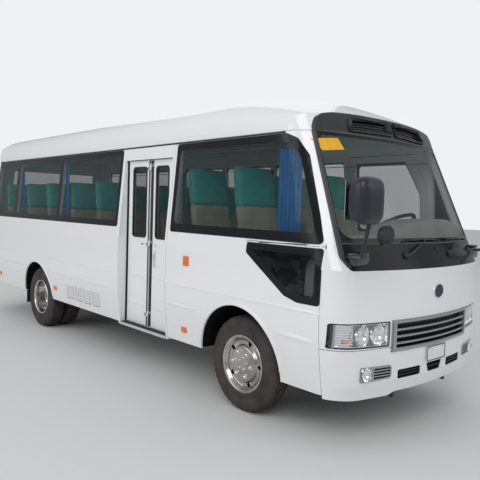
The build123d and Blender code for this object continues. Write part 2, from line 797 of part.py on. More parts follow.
# Driver's door, hinged at its front edge outside the skin
hinge_y = at(driver_door_front)
with BuildPart() as driver_door:
    add(skin(side_prism(door_outline, 1, 16, door_gap), outer, door_core))
    add(side_prism(door_window, 1, 30) - band_core, mode=Mode.SUBTRACT)
    add(side_prism(door_window, 1, 0, frame_border - 8), mode=Mode.SUBTRACT)
    for low in door_hinge_z:
        slab((door_hinge_x - 36, door_hinge_x + 5), (hinge_y + 20, hinge_y + 40), (low, low + 50))
        slab((door_hinge_x - 5, door_hinge_x + 5), (hinge_y, hinge_y + 40), (low, low + 50))
        rod((door_hinge_x, hinge_y, low), (door_hinge_x, hinge_y, low + 50), 9)
        ends = [(door_hinge_x, hinge_y, low + reach) for reach in (-1, 51)]
        rod(*ends, 4 + pin_gap, Mode.SUBTRACT)
write(driver_door.part, "driver_door")

with BuildPart() as driver_door_glass:
    add(skin(side_prism(door_window, 1, 30, glass_margin), pane, band_core))
write(driver_door_glass.part, "driver_door_glass")

with BuildPart() as louvre_panel:
    grid = box_outline((louvre_front, louvre_rear), louvre_z)
    add(skin(side_prism(grid, -1, 0, seat_gap), body_volume(4), body_volume(16)))
write(louvre_panel.part, "louvre_panel")

with BuildPart() as marker_lamps:
    for side in (-1, 1):
        for distance, height, half_length, half_height in marker_table:
            span = (at(distance - half_length), at(distance + half_length))
            slab(sorted((side * 900, side * 1100)), span, (height - half_height, height + half_height))
    add(body_volume(-10), mode=Mode.INTERSECT)
    add(body_volume(-seat_gap), mode=Mode.SUBTRACT)
write(marker_lamps.part, "marker_lamps")

# Mirrors on their arms at both front corners
with BuildPart() as mirror_arms:
    for side in (-1, 1):
        knee = (side * 1085, at(-70), 1365)
        rod((side * 870, at(215), 1330), knee, 13)
        rod(knee, (side * 1100, at(30 - mirror_lead), 1620), 13)
        rod((side * 975, at(70), 1345), (side * 838, at(-112), 1450), 9)
        with Locations(knee):
            Sphere(14)
    add(outer, mode=Mode.SUBTRACT)
write(mirror_arms.part, "mirror_arms")

head_x, head_y, head_z = 1096, at(50 - mirror_lead), 1705
with BuildPart() as mirror_heads:
    for side in (-1, 1):
        with BuildPart(mode=Mode.PRIVATE) as head:
            slab((side * head_x - 118, side * head_x + 118), (head_y - 50, head_y + 110),
                 (head_z - 145, head_z + 145))
            fillet(head.edges().filter_by(Axis.Y), 55)
        add(head.part)
        rod((side * 838, at(-130), 1490), (side * 838, at(-95), 1490), 68)
    add(mirror_arms.part, mode=Mode.SUBTRACT)
write(mirror_heads.part, "mirror_heads")

with BuildPart() as mirror_glasses:
    for side in (-1, 1):
        low = side * head_x - 96
        slab((low, low + 192), (head_y + 110.3, head_y + 114), (head_z - 120, head_z + 120))
write(mirror_glasses.part, "mirror_glasses")

# Ladder frame, floors and power train
cabin = body_volume(wall + seat_gap)
with BuildPart() as chassis_frame:
    for side in (-1, 1):
        rail = sorted((side * rail_inner, side * rail_outer))
        slab(rail, (at(0), at(overall_length)), (rail_bottom, rail_top))
        for distance, top in post_table:
            slab(rail, (at(distance), at(distance + 50)), (rail_top + seat_gap, top))
    add(cabin, mode=Mode.INTERSECT)
    for side in (-1, 1):
        eye_x = (side * 370 - 10, side * 370 + 10)
        for distance in tow_eye_d:
            slab(eye_x, (at(distance - 35), at(distance + 35)), (tow_eye_z - 30, rail_bottom - seat_gap))
            ends = [(side * 370 + reach, at(distance), tow_eye_z) for reach in (-20, 20)]
            rod(*ends, tow_eye_radius, Mode.SUBTRACT)
    for distance in cross_member_d:
        slab((seat_gap - rail_inner, rail_inner - seat_gap), (at(distance), at(distance + 80)),
             (rail_top - 28, rail_top))
    for distance in bearer_d:
        slab((-bearer_half, bearer_half), (at(distance), at(distance + 50)),
             (bearer_bottom, floor_z - floor_thickness))
write(chassis_frame.part, "chassis_frame")

house = wheel_house_plate
with BuildPart() as floor_pan:
    slab((-1200, 1200), (at(platform_end - house), at(6920)), (floor_z - floor_thickness, floor_z))
    slab((-1200, 1200), (at(cab_step - house), at(platform_end)),
         (platform_z - floor_thickness, platform_z))
    slab((-1200, 1200), (at(platform_end - house), at(platform_end)), (floor_z, platform_z))
    slab((-1200, 1200), (at(cab_step - house), at(cab_step)), (cab_well_z - floor_thickness, platform_z))
    slab((-1200, 1200), (at(0), at(cab_step)), (cab_well_z - floor_thickness, cab_well_z))
    add(cabin, mode=Mode.INTERSECT)
    well_span = (at(jamb_front_end), at(jamb_rear_start))
    slab((-1200, well_inner_x + seat_gap), well_span, (0, floor_z + 1), Mode.SUBTRACT)
    doorway_span = (at(doorway_front), at(doorway_rear))
    slab((-1200, jamb_inner_x + seat_gap), doorway_span, (0, floor_z + 1), Mode.SUBTRACT)
    for side in (-1, 1):
        reach = rear_arch_radius + house
        outside = sorted((side * (house_inner - house), side * 1200))
        inside = sorted((side * house_inner, side * 1200))
        with BuildPart(mode=Mode.PRIVATE) as house_box:
            slab(outside, (at(rear_axle_d - reach - house), at(rear_axle_d + reach + house)),
                 (floor_z - floor_thickness, house_top + house))
            add(cabin, mode=Mode.INTERSECT)
        add(house_box.part)
        slab(inside, (at(rear_axle_d - reach), at(rear_axle_d + reach)), (0, house_top), Mode.SUBTRACT)
        liner = sorted((side * 480, side * 492))
        slab(liner, (at(cab_step), at(1650)), (rail_top + 40, platform_z - floor_thickness))
write(floor_pan.part, "floor_pan")

with BuildPart() as engine_block:
    slab((-250, 250), (at(720), at(1560)), (490, 860))
    slab((-rail_inner, rail_inner), (at(900), at(960)), (520, 560))
    slab((-rail_inner, rail_inner), (at(1440), at(1500)), (520, 560))
write(engine_block.part, "engine_block")

with BuildPart() as driveline:
    slab((-140, 140), (at(1560 + seat_gap), at(2080)), (490, 720))
    rod((0, at(2080 + seat_gap), 565), (0, at(rear_axle_d - 150), 420), 38)
write(driveline.part, "driveline")

with BuildPart() as fuel_tank:
    slab((430, 800), (at(3260), at(3960)), (400, 640))
    for distance in (3300, 3850):
        slab((500, 560), (at(distance), at(distance + 50)), (640, floor_z - floor_thickness))
    fillet(fuel_tank.edges().filter_by(Axis.Y).group_by(Axis.Z)[0], 40)
write(fuel_tank.part, "fuel_tank")

axle_y = at(front_axle_d)
kingpin_x = front_track / 2 - kingpin_inset
with BuildPart() as front_axle_beam:
    slab((-690, 690), (axle_y - 35, axle_y + 35), (295, 365))
    for side in (-1, 1):
        x = side * kingpin_x
        slab(sorted((side * 670, x)), (axle_y - 30, axle_y + 30), (340, 435))
        rod((x, axle_y, 340), (x, axle_y, 435), 38)
        rod((x, axle_y, 300), (x, axle_y, 475), kingpin_radius)
write(front_axle_beam.part, "front_axle_beam")

rear_y = at(rear_axle_d)
with BuildPart() as rear_axle_housing:
    rod((-560, rear_y, tyre_radius), (560, rear_y, tyre_radius), 54)
    rod((-120, rear_y, tyre_radius), (120, rear_y, tyre_radius), 148)
    ends = [(reach, rear_y, tyre_radius) for reach in (-rear_spindle_end, rear_spindle_end)]
    rod(*ends, rear_spindle_radius)
write(rear_axle_housing.part, "rear_axle_housing")

with BuildPart() as leaf_springs:
    for side in (-1, 1):
        strip = sorted((side * 415, side * 475))
        hanger = sorted((side * (rail_outer + seat_gap), side * 475))
        for distance, low in ((front_axle_d, 400), (rear_axle_d, 446)):
            slab(strip, (at(distance - 600), at(distance + 600)), (low, low + 40))
            slab(strip, (at(distance - 380), at(distance + 380)), (low - 2, low + 30))
            for end in (-600, 550):
                slab(hanger, (at(distance + end), at(distance + end + 50)), (low + 20, rail_top - 20))
        slab(strip, (axle_y - 35, axle_y + 35), (365 + seat_gap, 410))
        slab(strip, (rear_y - 40, rear_y + 40), (tyre_radius + 54 + seat_gap, 450))
write(leaf_springs.part, "leaf_springs")

with BuildPart() as mud_flaps:
    for side in (-1, 1):
        span = (at(bearer_d[-2] - 8), at(bearer_d[-2]) - seat_gap)
        slab(sorted((side * 560, side * 905)), span, (230, 750))
write(mud_flaps.part, "mud_flaps")


def wheel_plane(x, distance):
    """Plane whose X runs along the wheel's axle and whose Y is the wheel's radius."""
    return Plane(origin=(x, at(distance), tyre_radius), x_dir=(1, 0, 0), z_dir=(0, 0, 1))


def ring(points, x, distance, side, mode=Mode.ADD):
    """Turned ring in the open part; points are (offset outboard, radius)."""
    plane = wheel_plane(x, distance)
    section = outline_face([(side * reach, radius) for reach, radius in points], plane, 0, 0)
    revolve(section, axis=Axis(plane.origin, (1, 0, 0)), mode=mode)


for corner, side in (("front_right", -1), ("front_left", 1)):
    x = side * front_track / 2
    with BuildPart() as tyre:
        ring(tyre_profile, x, front_axle_d, side)
    write(tyre.part, f"tyre_{corner}")
    with BuildPart() as rim:
        ring(rim_profile, x, front_axle_d, side)
        ring(((38, 30), (52, 30), (52, 192), (38, 192)), x, front_axle_d, side)
        ring(cover_profile, x, front_axle_d, side)
        ring(((-36, 0), (52, 0), (52, hub_radius), (-36, hub_radius)), x, front_axle_d, side)
        bore = spindle_radius + spindle_clearance
        ring(((-40, 0), (70, 0), (70, bore), (-40, bore)), x, front_axle_d, side, Mode.SUBTRACT)
    write(rim.part, f"wheel_{corner}")
    with BuildPart() as knuckle:
        kx = side * kingpin_x
        for low, high in ((305, 338), (437, 470)):
            rod((kx, axle_y, low), (kx, axle_y, high), 36)
            slab(sorted((kx, side * 790)), (axle_y - 34, axle_y + 34), (low, high))
        slab(sorted((side * 774, side * 790)), (axle_y - 45, axle_y + 45), (305, 470))
        rod((side * 780, axle_y, tyre_radius), (side * 898, axle_y, tyre_radius), spindle_radius)
        rod((kx, axle_y, 290), (kx, axle_y, 480), kingpin_radius + pin_gap, Mode.SUBTRACT)
    write(knuckle.part, f"knuckle_{corner.split('_')[1]}")

for corner, side in (("right", -1), ("left", 1)):
    outer_x, inner_x = side * rear_outer_x, side * (rear_outer_x - twin_spacing)
    with BuildPart() as tyres:
        ring(tyre_profile, outer_x, rear_axle_d, side)
        ring(tyre_profile, inner_x, rear_axle_d, side)
    write(tyres.part, f"tyres_rear_{corner}")
    with BuildPart() as rims:
        for x in (outer_x, inner_x):
            ring(rim_profile, x, rear_axle_d, side)
        ring(((-112, 30), (-98, 30), (-70, 192), (-84, 192)), outer_x, rear_axle_d, side)
        ring(((108, 30), (122, 30), (94, 192), (80, 192)), inner_x, rear_axle_d, side)
        ring(((-44, 0), (210, 0), (210, hub_radius), (-44, hub_radius)), inner_x, rear_axle_d, side)
        ring(((200, 0), (232, 0), (226, 42), (200, 42)), inner_x, rear_axle_d, side)
        bore = rear_spindle_radius + spindle_clearance
        ring(((-60, 0), (206, 0), (206, bore), (-60, bore)), inner_x, rear_axle_d, side, Mode.SUBTRACT)
    write(rims.part, f"wheels_rear_{corner}")


# Interior
def seat(x, front, base, top):
    """One high backed seat: cushion, back and head part, from its left edge and the floor height."""
    cushion = base + seat_height
    back = ((front - 96, cushion - 90), (front - 70, cushion), (front, top - 190), (front + 45, top - 20),
            (front + 70, top), (front + 145, top - 10), (front + 130, top - 230),
            (front + 20, cushion - 90))
    base_pad = ((front - 500, cushion - 110), (front - 500, cushion - 15), (front - 470, cushion),
                (front - 60, cushion), (front - 60, cushion - 110))
    for outline in (back, base_pad):
        placed = [(at(distance), height) for distance, height in outline]
        extrude(outline_face(placed, Plane.YZ.offset(x), 0, 0), amount=seat_width)


with BuildPart() as passenger_seats:
    for x, front in seat_table:
        base, top = (platform_z, seat_top_front) if front < platform_end else (floor_z, seat_top_rear)
        seat(x, front, base, top)
write(passenger_seats.part, "passenger_seats")

with BuildPart() as driver_seat:
    seat(driver_x - seat_width / 2, driver_d, platform_z, seat_top_front)
    slab((driver_x - 150, driver_x + 150), (at(driver_d - 450), at(driver_d - 100)),
         (platform_z + seat_gap, platform_z + seat_height - 110))
write(driver_seat.part, "driver_seat")

with BuildPart() as seat_frames:
    for x, front in seat_table:
        base = platform_z if front < platform_end else floor_z
        for low, high in ((40, 80), (seat_width - 80, seat_width - 40)):
            upright = (base + seat_gap, base + seat_height - 110 - seat_gap)
            slab((x + low, x + high), (at(front - 440), at(front - 400)), upright)
            slab((x + low, x + high), (at(front - 160), at(front - 120)), upright)
            slab((x + low, x + high), (at(front - 440), at(front - 120)), (base + seat_gap, base + 25))
    add(floor_pan.part, mode=Mode.SUBTRACT)
write(seat_frames.part, "seat_frames")

with BuildPart() as dashboard:
    slab((-1200, 1200), (at(0), at(dash_rear)), (dash_bottom, dash_top))
    add(cabin, mode=Mode.INTERSECT)
write(dashboard.part, "dashboard")

column_foot = Vector(driver_x, at(dash_rear - 30), 1060)
column_head = Vector(driver_x, at(700), 1500)
column_way = (column_head - column_foot).normalized()
with BuildPart() as steering_column:
    rod(tuple(column_foot), tuple(column_head), 22)
    rod(tuple(column_head), tuple(column_head + column_way * 24), 9)
    add(dashboard.part, mode=Mode.SUBTRACT)
write(steering_column.part, "steering_column")

wheel_centre = column_head + column_way * 30
with BuildPart() as steering_wheel:
    face = Plane(origin=tuple(wheel_centre), x_dir=(1, 0, 0), z_dir=tuple(column_way))
    with BuildSketch(face) as rim_circle:
        Circle(215)
        Circle(190, mode=Mode.SUBTRACT)
        Rectangle(390, 34)
        Circle(50)
    extrude(rim_circle.sketch, amount=12, both=True)
    rod(tuple(column_head + column_way * 0.5), tuple(column_head + column_way * 40), 30)
    ends = [tuple(column_head + column_way * reach) for reach in (-1, 24.5)]
    rod(*ends, 9 + pin_gap, Mode.SUBTRACT)
write(steering_wheel.part, "steering_wheel")

with BuildPart() as curtains:
    for side, distance, width in curtain_table:
        x = sorted((side * 862, side * 905))
        slab(x, (at(distance), at(distance + width)), (window_bottom + 35, window_top - 90))
    add(cabin, mode=Mode.INTERSECT)
write(curtains.part, "curtains")
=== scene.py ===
import json
import math

import bmesh
import bpy
from mathutils import Matrix, Vector
from mathutils.bvhtree import BVHTree


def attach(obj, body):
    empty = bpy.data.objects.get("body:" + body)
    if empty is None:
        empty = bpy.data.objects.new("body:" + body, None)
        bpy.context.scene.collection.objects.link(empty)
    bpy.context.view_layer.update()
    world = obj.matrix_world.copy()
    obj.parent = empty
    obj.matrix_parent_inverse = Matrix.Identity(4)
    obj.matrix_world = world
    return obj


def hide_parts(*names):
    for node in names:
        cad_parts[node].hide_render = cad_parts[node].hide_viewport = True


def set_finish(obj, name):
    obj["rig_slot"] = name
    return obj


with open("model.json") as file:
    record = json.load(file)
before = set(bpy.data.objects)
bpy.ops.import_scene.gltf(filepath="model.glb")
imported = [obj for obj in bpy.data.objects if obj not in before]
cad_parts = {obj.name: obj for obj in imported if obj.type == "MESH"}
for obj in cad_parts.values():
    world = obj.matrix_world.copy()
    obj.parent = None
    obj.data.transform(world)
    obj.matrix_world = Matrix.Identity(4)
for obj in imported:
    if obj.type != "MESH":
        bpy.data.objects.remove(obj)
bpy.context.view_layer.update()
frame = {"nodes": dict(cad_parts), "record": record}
NODES = frame["nodes"]
BODY_OF = {n: b for b, ns in frame["record"]["behaviour"]["bodies"].items() for n in ns}
FRONT = -3.410
R_TYRE = 0.3875
ARCH_Z = 0.400
ARCH_R = {"front": 0.470, "rear": 0.452}
PANEL = {-1: "side_panel_right", 1: "side_panel_left"}
# Foot and head of the glazed bands, and the posts between their panes
GLASS_LOW, GLASS_TOP = 1.405, 2.195
BAND_END = 6.690
POSTS_RIGHT = (4.505, 5.895)
POSTS_LEFT = (2.700, 3.600) + POSTS_RIGHT
AXLE_F, AXLE_R = 1.160, 5.095


def at(d):
    """Y of a point this many metres behind the front of the bumper."""
    return FRONT + d


# ---------------------------------------------------------------- body form
LEVELS = (
    (0.345, 0.955, 0.030, 0.068),
    (0.455, 0.972, 0.006, 0.056),
    (0.740, 1.010, 0.000, 0.042),
    (0.940, 1.020, 0.000, 0.032),
    (1.240, 1.013, 0.006, 0.040),
    (2.215, 0.928, 0.439875, 0.120),
    (2.700, 0.938, 0.6557, 0.116),
)
NOSE_ARC, NOSE_R, TAIL_ARC, TAIL_R, LENGTH = 3.0, 0.25, 7.0, 0.22, 6.99


def level(z):
    """(half width, nose setback, tail setback) of the body at height z."""
    z = min(max(z, LEVELS[0][0]), LEVELS[-1][0])
    for lo, hi in zip(LEVELS, LEVELS[1:]):
        if z <= hi[0]:
            t = (z - lo[0]) / (hi[0] - lo[0])
            return tuple(a + (b - a) * t for a, b in zip(lo[1:], hi[1:]))
    return LEVELS[-1][1:]


def corner_d(half, setback, arc, r):
    return setback + arc - math.sqrt((arc - r) ** 2 - (half - r) ** 2)


def flank(side, lift=0.0):
    """Maps (distance, height) to a point on that flank, lifted outward."""
    def place(u, v):
        half, nose, tail = level(v)
        x = half
        cd = corner_d(half, nose, NOSE_ARC, NOSE_R)
        ce = LENGTH - corner_d(half, tail, TAIL_ARC, TAIL_R)
        if u < cd:
            x = half - NOSE_R + math.sqrt(max(NOSE_R ** 2 - (cd - u) ** 2, 1e-9))
        if u > ce:
            x = half - TAIL_R + math.sqrt(max(TAIL_R ** 2 - (u - ce) ** 2, 1e-9))
        return Vector((side * (x + lift), at(u), v))
    return place


def front(lift=0.0):
    """Maps (x, height) to a point on the nose, lifted forward."""
    def place(u, v):
        half, nose, _ = level(v)
        ax = abs(u)
        touch = (half - NOSE_R) * NOSE_ARC / (NOSE_ARC - NOSE_R)
        if ax <= touch:
            d = nose + NOSE_ARC - math.sqrt(NOSE_ARC ** 2 - ax ** 2)
        else:
            cd = corner_d(half, nose, NOSE_ARC, NOSE_R)
            d = cd - math.sqrt(max(NOSE_R ** 2 - (ax - half + NOSE_R) ** 2, 1e-9))
        n = normal_front(u, v)
        return Vector((u, at(d), v)) + n * lift
    return place


def normal_front(u, v):
    half = level(v)[0]
    ax = abs(u)
    touch = (half - NOSE_R) * NOSE_ARC / (NOSE_ARC - NOSE_R)
    if ax <= touch:
        s = ax / NOSE_ARC
    else:
        s = min((ax - half + NOSE_R) / NOSE_R, 1.0)
    rake = 0.0 if v < 1.24 else 0.42
    n = Vector((math.copysign(s, u), -math.sqrt(max(1 - s * s, 0)), rake))
    return n.normalized()


# ---------------------------------------------------------------- materials
def material(name, color, rough=0.5, metal=0.0, coat=0.0, spec=0.5, alpha=None,
             bump=0.0, bump_scale=60.0, mottle=0.0, mottle_scale=6.0, transmission=0.0, ior=1.45,
             sheen=0.0, rough_var=0.0, weave=0.0, weave_scale=400.0, emission=0.0):
    m = bpy.data.materials.new(name)
    m.use_nodes = True
    nt = m.node_tree
    b = nt.nodes["Principled BSDF"]
    b.inputs["Base Color"].default_value = (*color, 1)
    b.inputs["Roughness"].default_value = rough
    b.inputs["Metallic"].default_value = metal
    b.inputs["Coat Weight"].default_value = coat
    b.inputs["Coat Roughness"].default_value = 0.04
    b.inputs["Specular IOR Level"].default_value = spec
    b.inputs["Transmission Weight"].default_value = transmission
    b.inputs["IOR"].default_value = ior
    b.inputs["Sheen Weight"].default_value = sheen
    if alpha is not None:
        b.inputs["Alpha"].default_value = alpha
    if emission:
        b.inputs["Emission Color"].default_value = (*color, 1)
        b.inputs["Emission Strength"].default_value = emission
    tex = nt.nodes.new("ShaderNodeTexCoord")
    if mottle:
        n = nt.nodes.new("ShaderNodeTexNoise")
        n.inputs["Scale"].default_value = mottle_scale
        n.inputs["Detail"].default_value = 6
        r = nt.nodes.new("ShaderNodeValToRGB")
        r.color_ramp.elements[0].position = 0.3
        r.color_ramp.elements[1].position = 0.72
        r.color_ramp.elements[0].color = (*[max(c * (1 - mottle), 0) for c in color], 1)
        r.color_ramp.elements[1].color = (*[min(c * (1 + mottle * 0.5), 1) for c in color], 1)
        nt.links.new(tex.outputs["Object"], n.inputs["Vector"])
        nt.links.new(n.outputs["Fac"], r.inputs["Fac"])
        nt.links.new(r.outputs["Color"], b.inputs["Base Color"])
    if rough_var:
        n = nt.nodes.new("ShaderNodeTexNoise")
        n.inputs["Scale"].default_value = mottle_scale * 1.7
        n.inputs["Detail"].default_value = 4
        mr = nt.nodes.new("ShaderNodeMapRange")
        mr.inputs["To Min"].default_value = max(rough - rough_var, 0)
        mr.inputs["To Max"].default_value = rough + rough_var
        nt.links.new(tex.outputs["Object"], n.inputs["Vector"])
        nt.links.new(n.outputs["Fac"], mr.inputs["Value"])
        nt.links.new(mr.outputs["Result"], b.inputs["Roughness"])
    if bump or weave:
        bp = nt.nodes.new("ShaderNodeBump")
        bp.inputs["Distance"].default_value = 0.001
        if weave:
            w = nt.nodes.new("ShaderNodeTexVoronoi")
            w.inputs["Scale"].default_value = weave_scale
            bp.inputs["Strength"].default_value = weave
            nt.links.new(tex.outputs["Object"], w.inputs["Vector"])
            nt.links.new(w.outputs["Distance"], bp.inputs["Height"])
        else:
            n = nt.nodes.new("ShaderNodeTexNoise")
            n.inputs["Scale"].default_value = bump_scale
            n.inputs["Detail"].default_value = 5
            bp.inputs["Strength"].default_value = bump
            nt.links.new(tex.outputs["Object"], n.inputs["Vector"])
            nt.links.new(n.outputs["Fac"], bp.inputs["Height"])
        nt.links.new(bp.outputs["Normal"], b.inputs["Normal"])
    return m


def body_paint():
    """White gloss paint, with road film towards the sills."""
    m = material("paint_white", (0.86, 0.87, 0.885), rough=0.22, coat=0.8, spec=0.5, bump=0.012,
                 bump_scale=9.0)
    nt = m.node_tree
    b = nt.nodes["Principled BSDF"]
    geo = nt.nodes.new("ShaderNodeNewGeometry")
    sep = nt.nodes.new("ShaderNodeSeparateXYZ")
    mr = nt.nodes.new("ShaderNodeMapRange")
    mr.inputs["From Min"].default_value = 0.36
    mr.inputs["From Max"].default_value = 0.85
    mr.inputs["To Min"].default_value = 1.0
    mr.inputs["To Max"].default_value = 0.0
    noise = nt.nodes.new("ShaderNodeTexNoise")
    noise.inputs["Scale"].default_value = 5.0
    noise.inputs["Detail"].default_value = 8
    mul = nt.nodes.new("ShaderNodeMath")
    mul.operation = "MULTIPLY"
    mix = nt.nodes.new("ShaderNodeMix")
    mix.data_type = "RGBA"
    mix.inputs["A"].default_value = (0.86, 0.87, 0.885, 1)
    mix.inputs["B"].default_value = (0.62, 0.58, 0.53, 1)
    scale = nt.nodes.new("ShaderNodeMath")
    scale.operation = "MULTIPLY"
    scale.inputs[1].default_value = 0.42
    nt.links.new(geo.outputs["Position"], sep.inputs["Vector"])
    nt.links.new(sep.outputs["Z"], mr.inputs["Value"])
    nt.links.new(geo.outputs["Position"], noise.inputs["Vector"])
    nt.links.new(mr.outputs["Result"], mul.inputs[0])
    nt.links.new(noise.outputs["Fac"], mul.inputs[1])
    nt.links.new(mul.outputs["Value"], scale.inputs[0])
    nt.links.new(scale.outputs["Value"], mix.inputs["Factor"])
    nt.links.new(mix.outputs["Result"], b.inputs["Base Color"])
    return m


MAT = {
    "white": body_paint(),
    "gloss_black": material("gloss_black", (0.012, 0.012, 0.014), rough=0.08, coat=1.0, mottle=0.2,
                            mottle_scale=3),
    "frit": material("frit_black", (0.006, 0.006, 0.009), rough=0.14, spec=0.32, mottle=0.2,
                     mottle_scale=3),
    "cowl": material("cowl_black", (0.008, 0.008, 0.010), rough=0.22, spec=0.22, mottle=0.25,
                     mottle_scale=3),
    "louvre": material("louvre_shade", (0.10, 0.15, 0.22), rough=0.6, mottle=0.2, mottle_scale=20),
    "mirror_shell": material("mirror_shell", (0.020, 0.022, 0.034), rough=0.30, bump=0.06,
                             bump_scale=500, rough_var=0.05),
    "tint": material("glass_tinted", (0.008, 0.011, 0.013), rough=0.02, alpha=0.34, spec=0.42,
                     bump=0.01, bump_scale=3),
    "clear": material("glass_clear", (0.05, 0.065, 0.063), rough=0.015, alpha=0.20, spec=0.45,
                      bump=0.008, bump_scale=3),
    "lens": material("lamp_lens", (0.85, 0.88, 0.90), rough=0.02, alpha=0.13, spec=0.5, bump=0.02,
                     bump_scale=14),
    "chrome": material("chrome", (0.83, 0.83, 0.84), rough=0.07, metal=1.0, rough_var=0.05,
                       mottle_scale=18, bump=0.02, bump_scale=30),
    "chrome_dark": material("chrome_satin", (0.42, 0.42, 0.43), rough=0.24, metal=1.0,
                            rough_var=0.06, mottle_scale=20, bump=0.02),
    "reflector": material("reflector", (0.9, 0.9, 0.92), rough=0.05, metal=1.0, rough_var=0.03,
                          mottle_scale=20, bump=0.03, bump_scale=25),
    "black": material("plastic_black", (0.022, 0.023, 0.026), rough=0.42, bump=0.12, bump_scale=420,
                      rough_var=0.08),
    "steel_black": material("steel_black", (0.030, 0.029, 0.028), rough=0.55, bump=0.1,
                            bump_scale=90, mottle=0.3),
    "rubber": material("rubber", (0.018, 0.018, 0.018), rough=0.62, bump=0.08, bump_scale=150,
                       mottle=0.2),
    "tyre": material("tyre_rubber", (0.056, 0.047, 0.041), rough=0.78, bump=0.22, bump_scale=70,
                     mottle=0.45, mottle_scale=9, rough_var=0.1),
    "cast": material("cast_metal", (0.10, 0.095, 0.09), rough=0.7, metal=0.4, bump=0.25,
                     bump_scale=60, mottle=0.4),
    "alloy": material("alloy_cast", (0.42, 0.42, 0.41), rough=0.5, metal=0.8, bump=0.2,
                      bump_scale=60, mottle=0.2),
    "floor": material("floor_mat", (0.20, 0.20, 0.21), rough=0.8, bump=0.25, bump_scale=120,
                      mottle=0.2),
    "teal": material("seat_head_cloth", (0.07, 0.68, 0.64), rough=0.75, sheen=0.3, weave=0.35,
                     weave_scale=500, mottle=0.2, mottle_scale=10),
    "beige": material("seat_cloth", (0.60, 0.61, 0.47), rough=0.8, sheen=0.3, weave=0.35,
                      weave_scale=500, mottle=0.22, mottle_scale=10),
    "curtain": material("curtain_cloth", (0.06, 0.42, 0.95), rough=0.7, sheen=0.4, weave=0.3,
                        weave_scale=600, mottle=0.2, mottle_scale=12),
    "dash": material("dash_plastic", (0.40, 0.40, 0.38), rough=0.55, bump=0.15, bump_scale=300,
                     mottle=0.08),
    "amber": material("amber_lens", (0.90, 0.16, 0.01), rough=0.12, coat=0.6, mottle=0.15,
                      mottle_scale=40, bump=0.1, bump_scale=80),
    "red": material("red_lens", (0.50, 0.01, 0.01), rough=0.12, coat=0.6, mottle=0.2,
                    mottle_scale=40, bump=0.1, bump_scale=80),
    "plate": material("plate_white", (0.80, 0.81, 0.80), rough=0.35, mottle=0.08, mottle_scale=20,
                      bump=0.05),
    "emblem": material("emblem_blue", (0.003, 0.008, 0.060), rough=0.15, coat=0.3, spec=0.3,
                       mottle=0.15, mottle_scale=30),
    "mirror": material("mirror_face", (0.9, 0.91, 0.92), rough=0.01, metal=1.0, bump=0.004,
                       bump_scale=4),
    "step": material("step_metal", (0.60, 0.61, 0.62), rough=0.4, metal=0.3, mottle=0.15, bump=0.1,
                     bump_scale=80),
    "lining": material("cabin_lining", (0.55, 0.55, 0.52), rough=0.8, bump=0.1, bump_scale=200,
                       mottle=0.06),
    "sticker": material("sticker_yellow", (0.90, 0.48, 0.02), rough=0.5, mottle=0.1,
                        mottle_scale=30),
    "trim_grey": material("trim_grey", (0.055, 0.056, 0.060), rough=0.38, bump=0.08, bump_scale=300,
                          mottle=0.15),
    "vent_grey": material("vent_grey", (0.030, 0.031, 0.034), rough=0.34, bump=0.08, bump_scale=350,
                          mottle=0.15),
    "wheel_cover": material("wheel_cover", (0.50, 0.475, 0.44), rough=0.16, metal=0.92,
                            rough_var=0.06, mottle=0.35,
                            mottle_scale=7, bump=0.03, bump_scale=40),
    "wheel_dish": material("wheel_dish", (0.66, 0.65, 0.63), rough=0.13, metal=0.95, rough_var=0.06,
                           mottle=0.3,
                           mottle_scale=9, bump=0.03, bump_scale=40),
    "edging": material("clear_plastic", (0.75, 0.80, 0.82), rough=0.15, alpha=0.45, spec=0.5,
                       bump=0.05, bump_scale=60),
    # near-black liner colour: painted shade inside the wheel arches
    "liner": material("arch_liner_painted_shade", (0.006, 0.006, 0.006), rough=0.9, spec=0.1, bump=0.15,
                      bump_scale=60, mottle=0.3),
}
NODE_MATS = {
    "white": "side_panel_right side_panel_left roof_panel front_panel front_bumper rear_panel "
             "rear_bumper rear_hatch door_surround door_leaf_rear door_leaf_front driver_door louvre_panel",
    "cowl": "cowl_panel",
    "vent_grey": "roof_vent_panel",
    "clear": "windscreen",
    "tint": "rear_window windows_right windows_left door_glass_rear door_glass_front driver_door_glass",
    "chrome_dark": "grille",
    "reflector": "headlamp_housings",
    "lens": "headlamp_lenses",
    "chrome": "fog_lamps wheel_front_right wheel_front_left wheels_rear_right wheels_rear_left",
    "plate": "number_plates",
    "emblem": "nose_emblem",
    "red": "tail_lamps",
    "amber": "marker_lamps",
    "black": "mirror_arms mirror_heads steering_wheel steering_column",
    "mirror": "mirror_glasses",
    "step": "step_well",
    "steel_black": "chassis_frame fuel_tank leaf_springs seat_frames",
    "floor": "floor_pan",
    "cast": "engine_block front_axle_beam rear_axle_housing knuckle_right knuckle_left",
    "alloy": "driveline",
    "rubber": "mud_flaps",
    "tyre": "tyre_front_right tyre_front_left tyres_rear_right tyres_rear_left",
    "beige": "passenger_seats driver_seat",
    "dash": "dashboard",
    "curtain": "curtains",
}
for key, names in NODE_MATS.items():
    for n in names.split():
        o = NODES[n]
        o.data.materials.clear()
        o.data.materials.append(MAT[key])


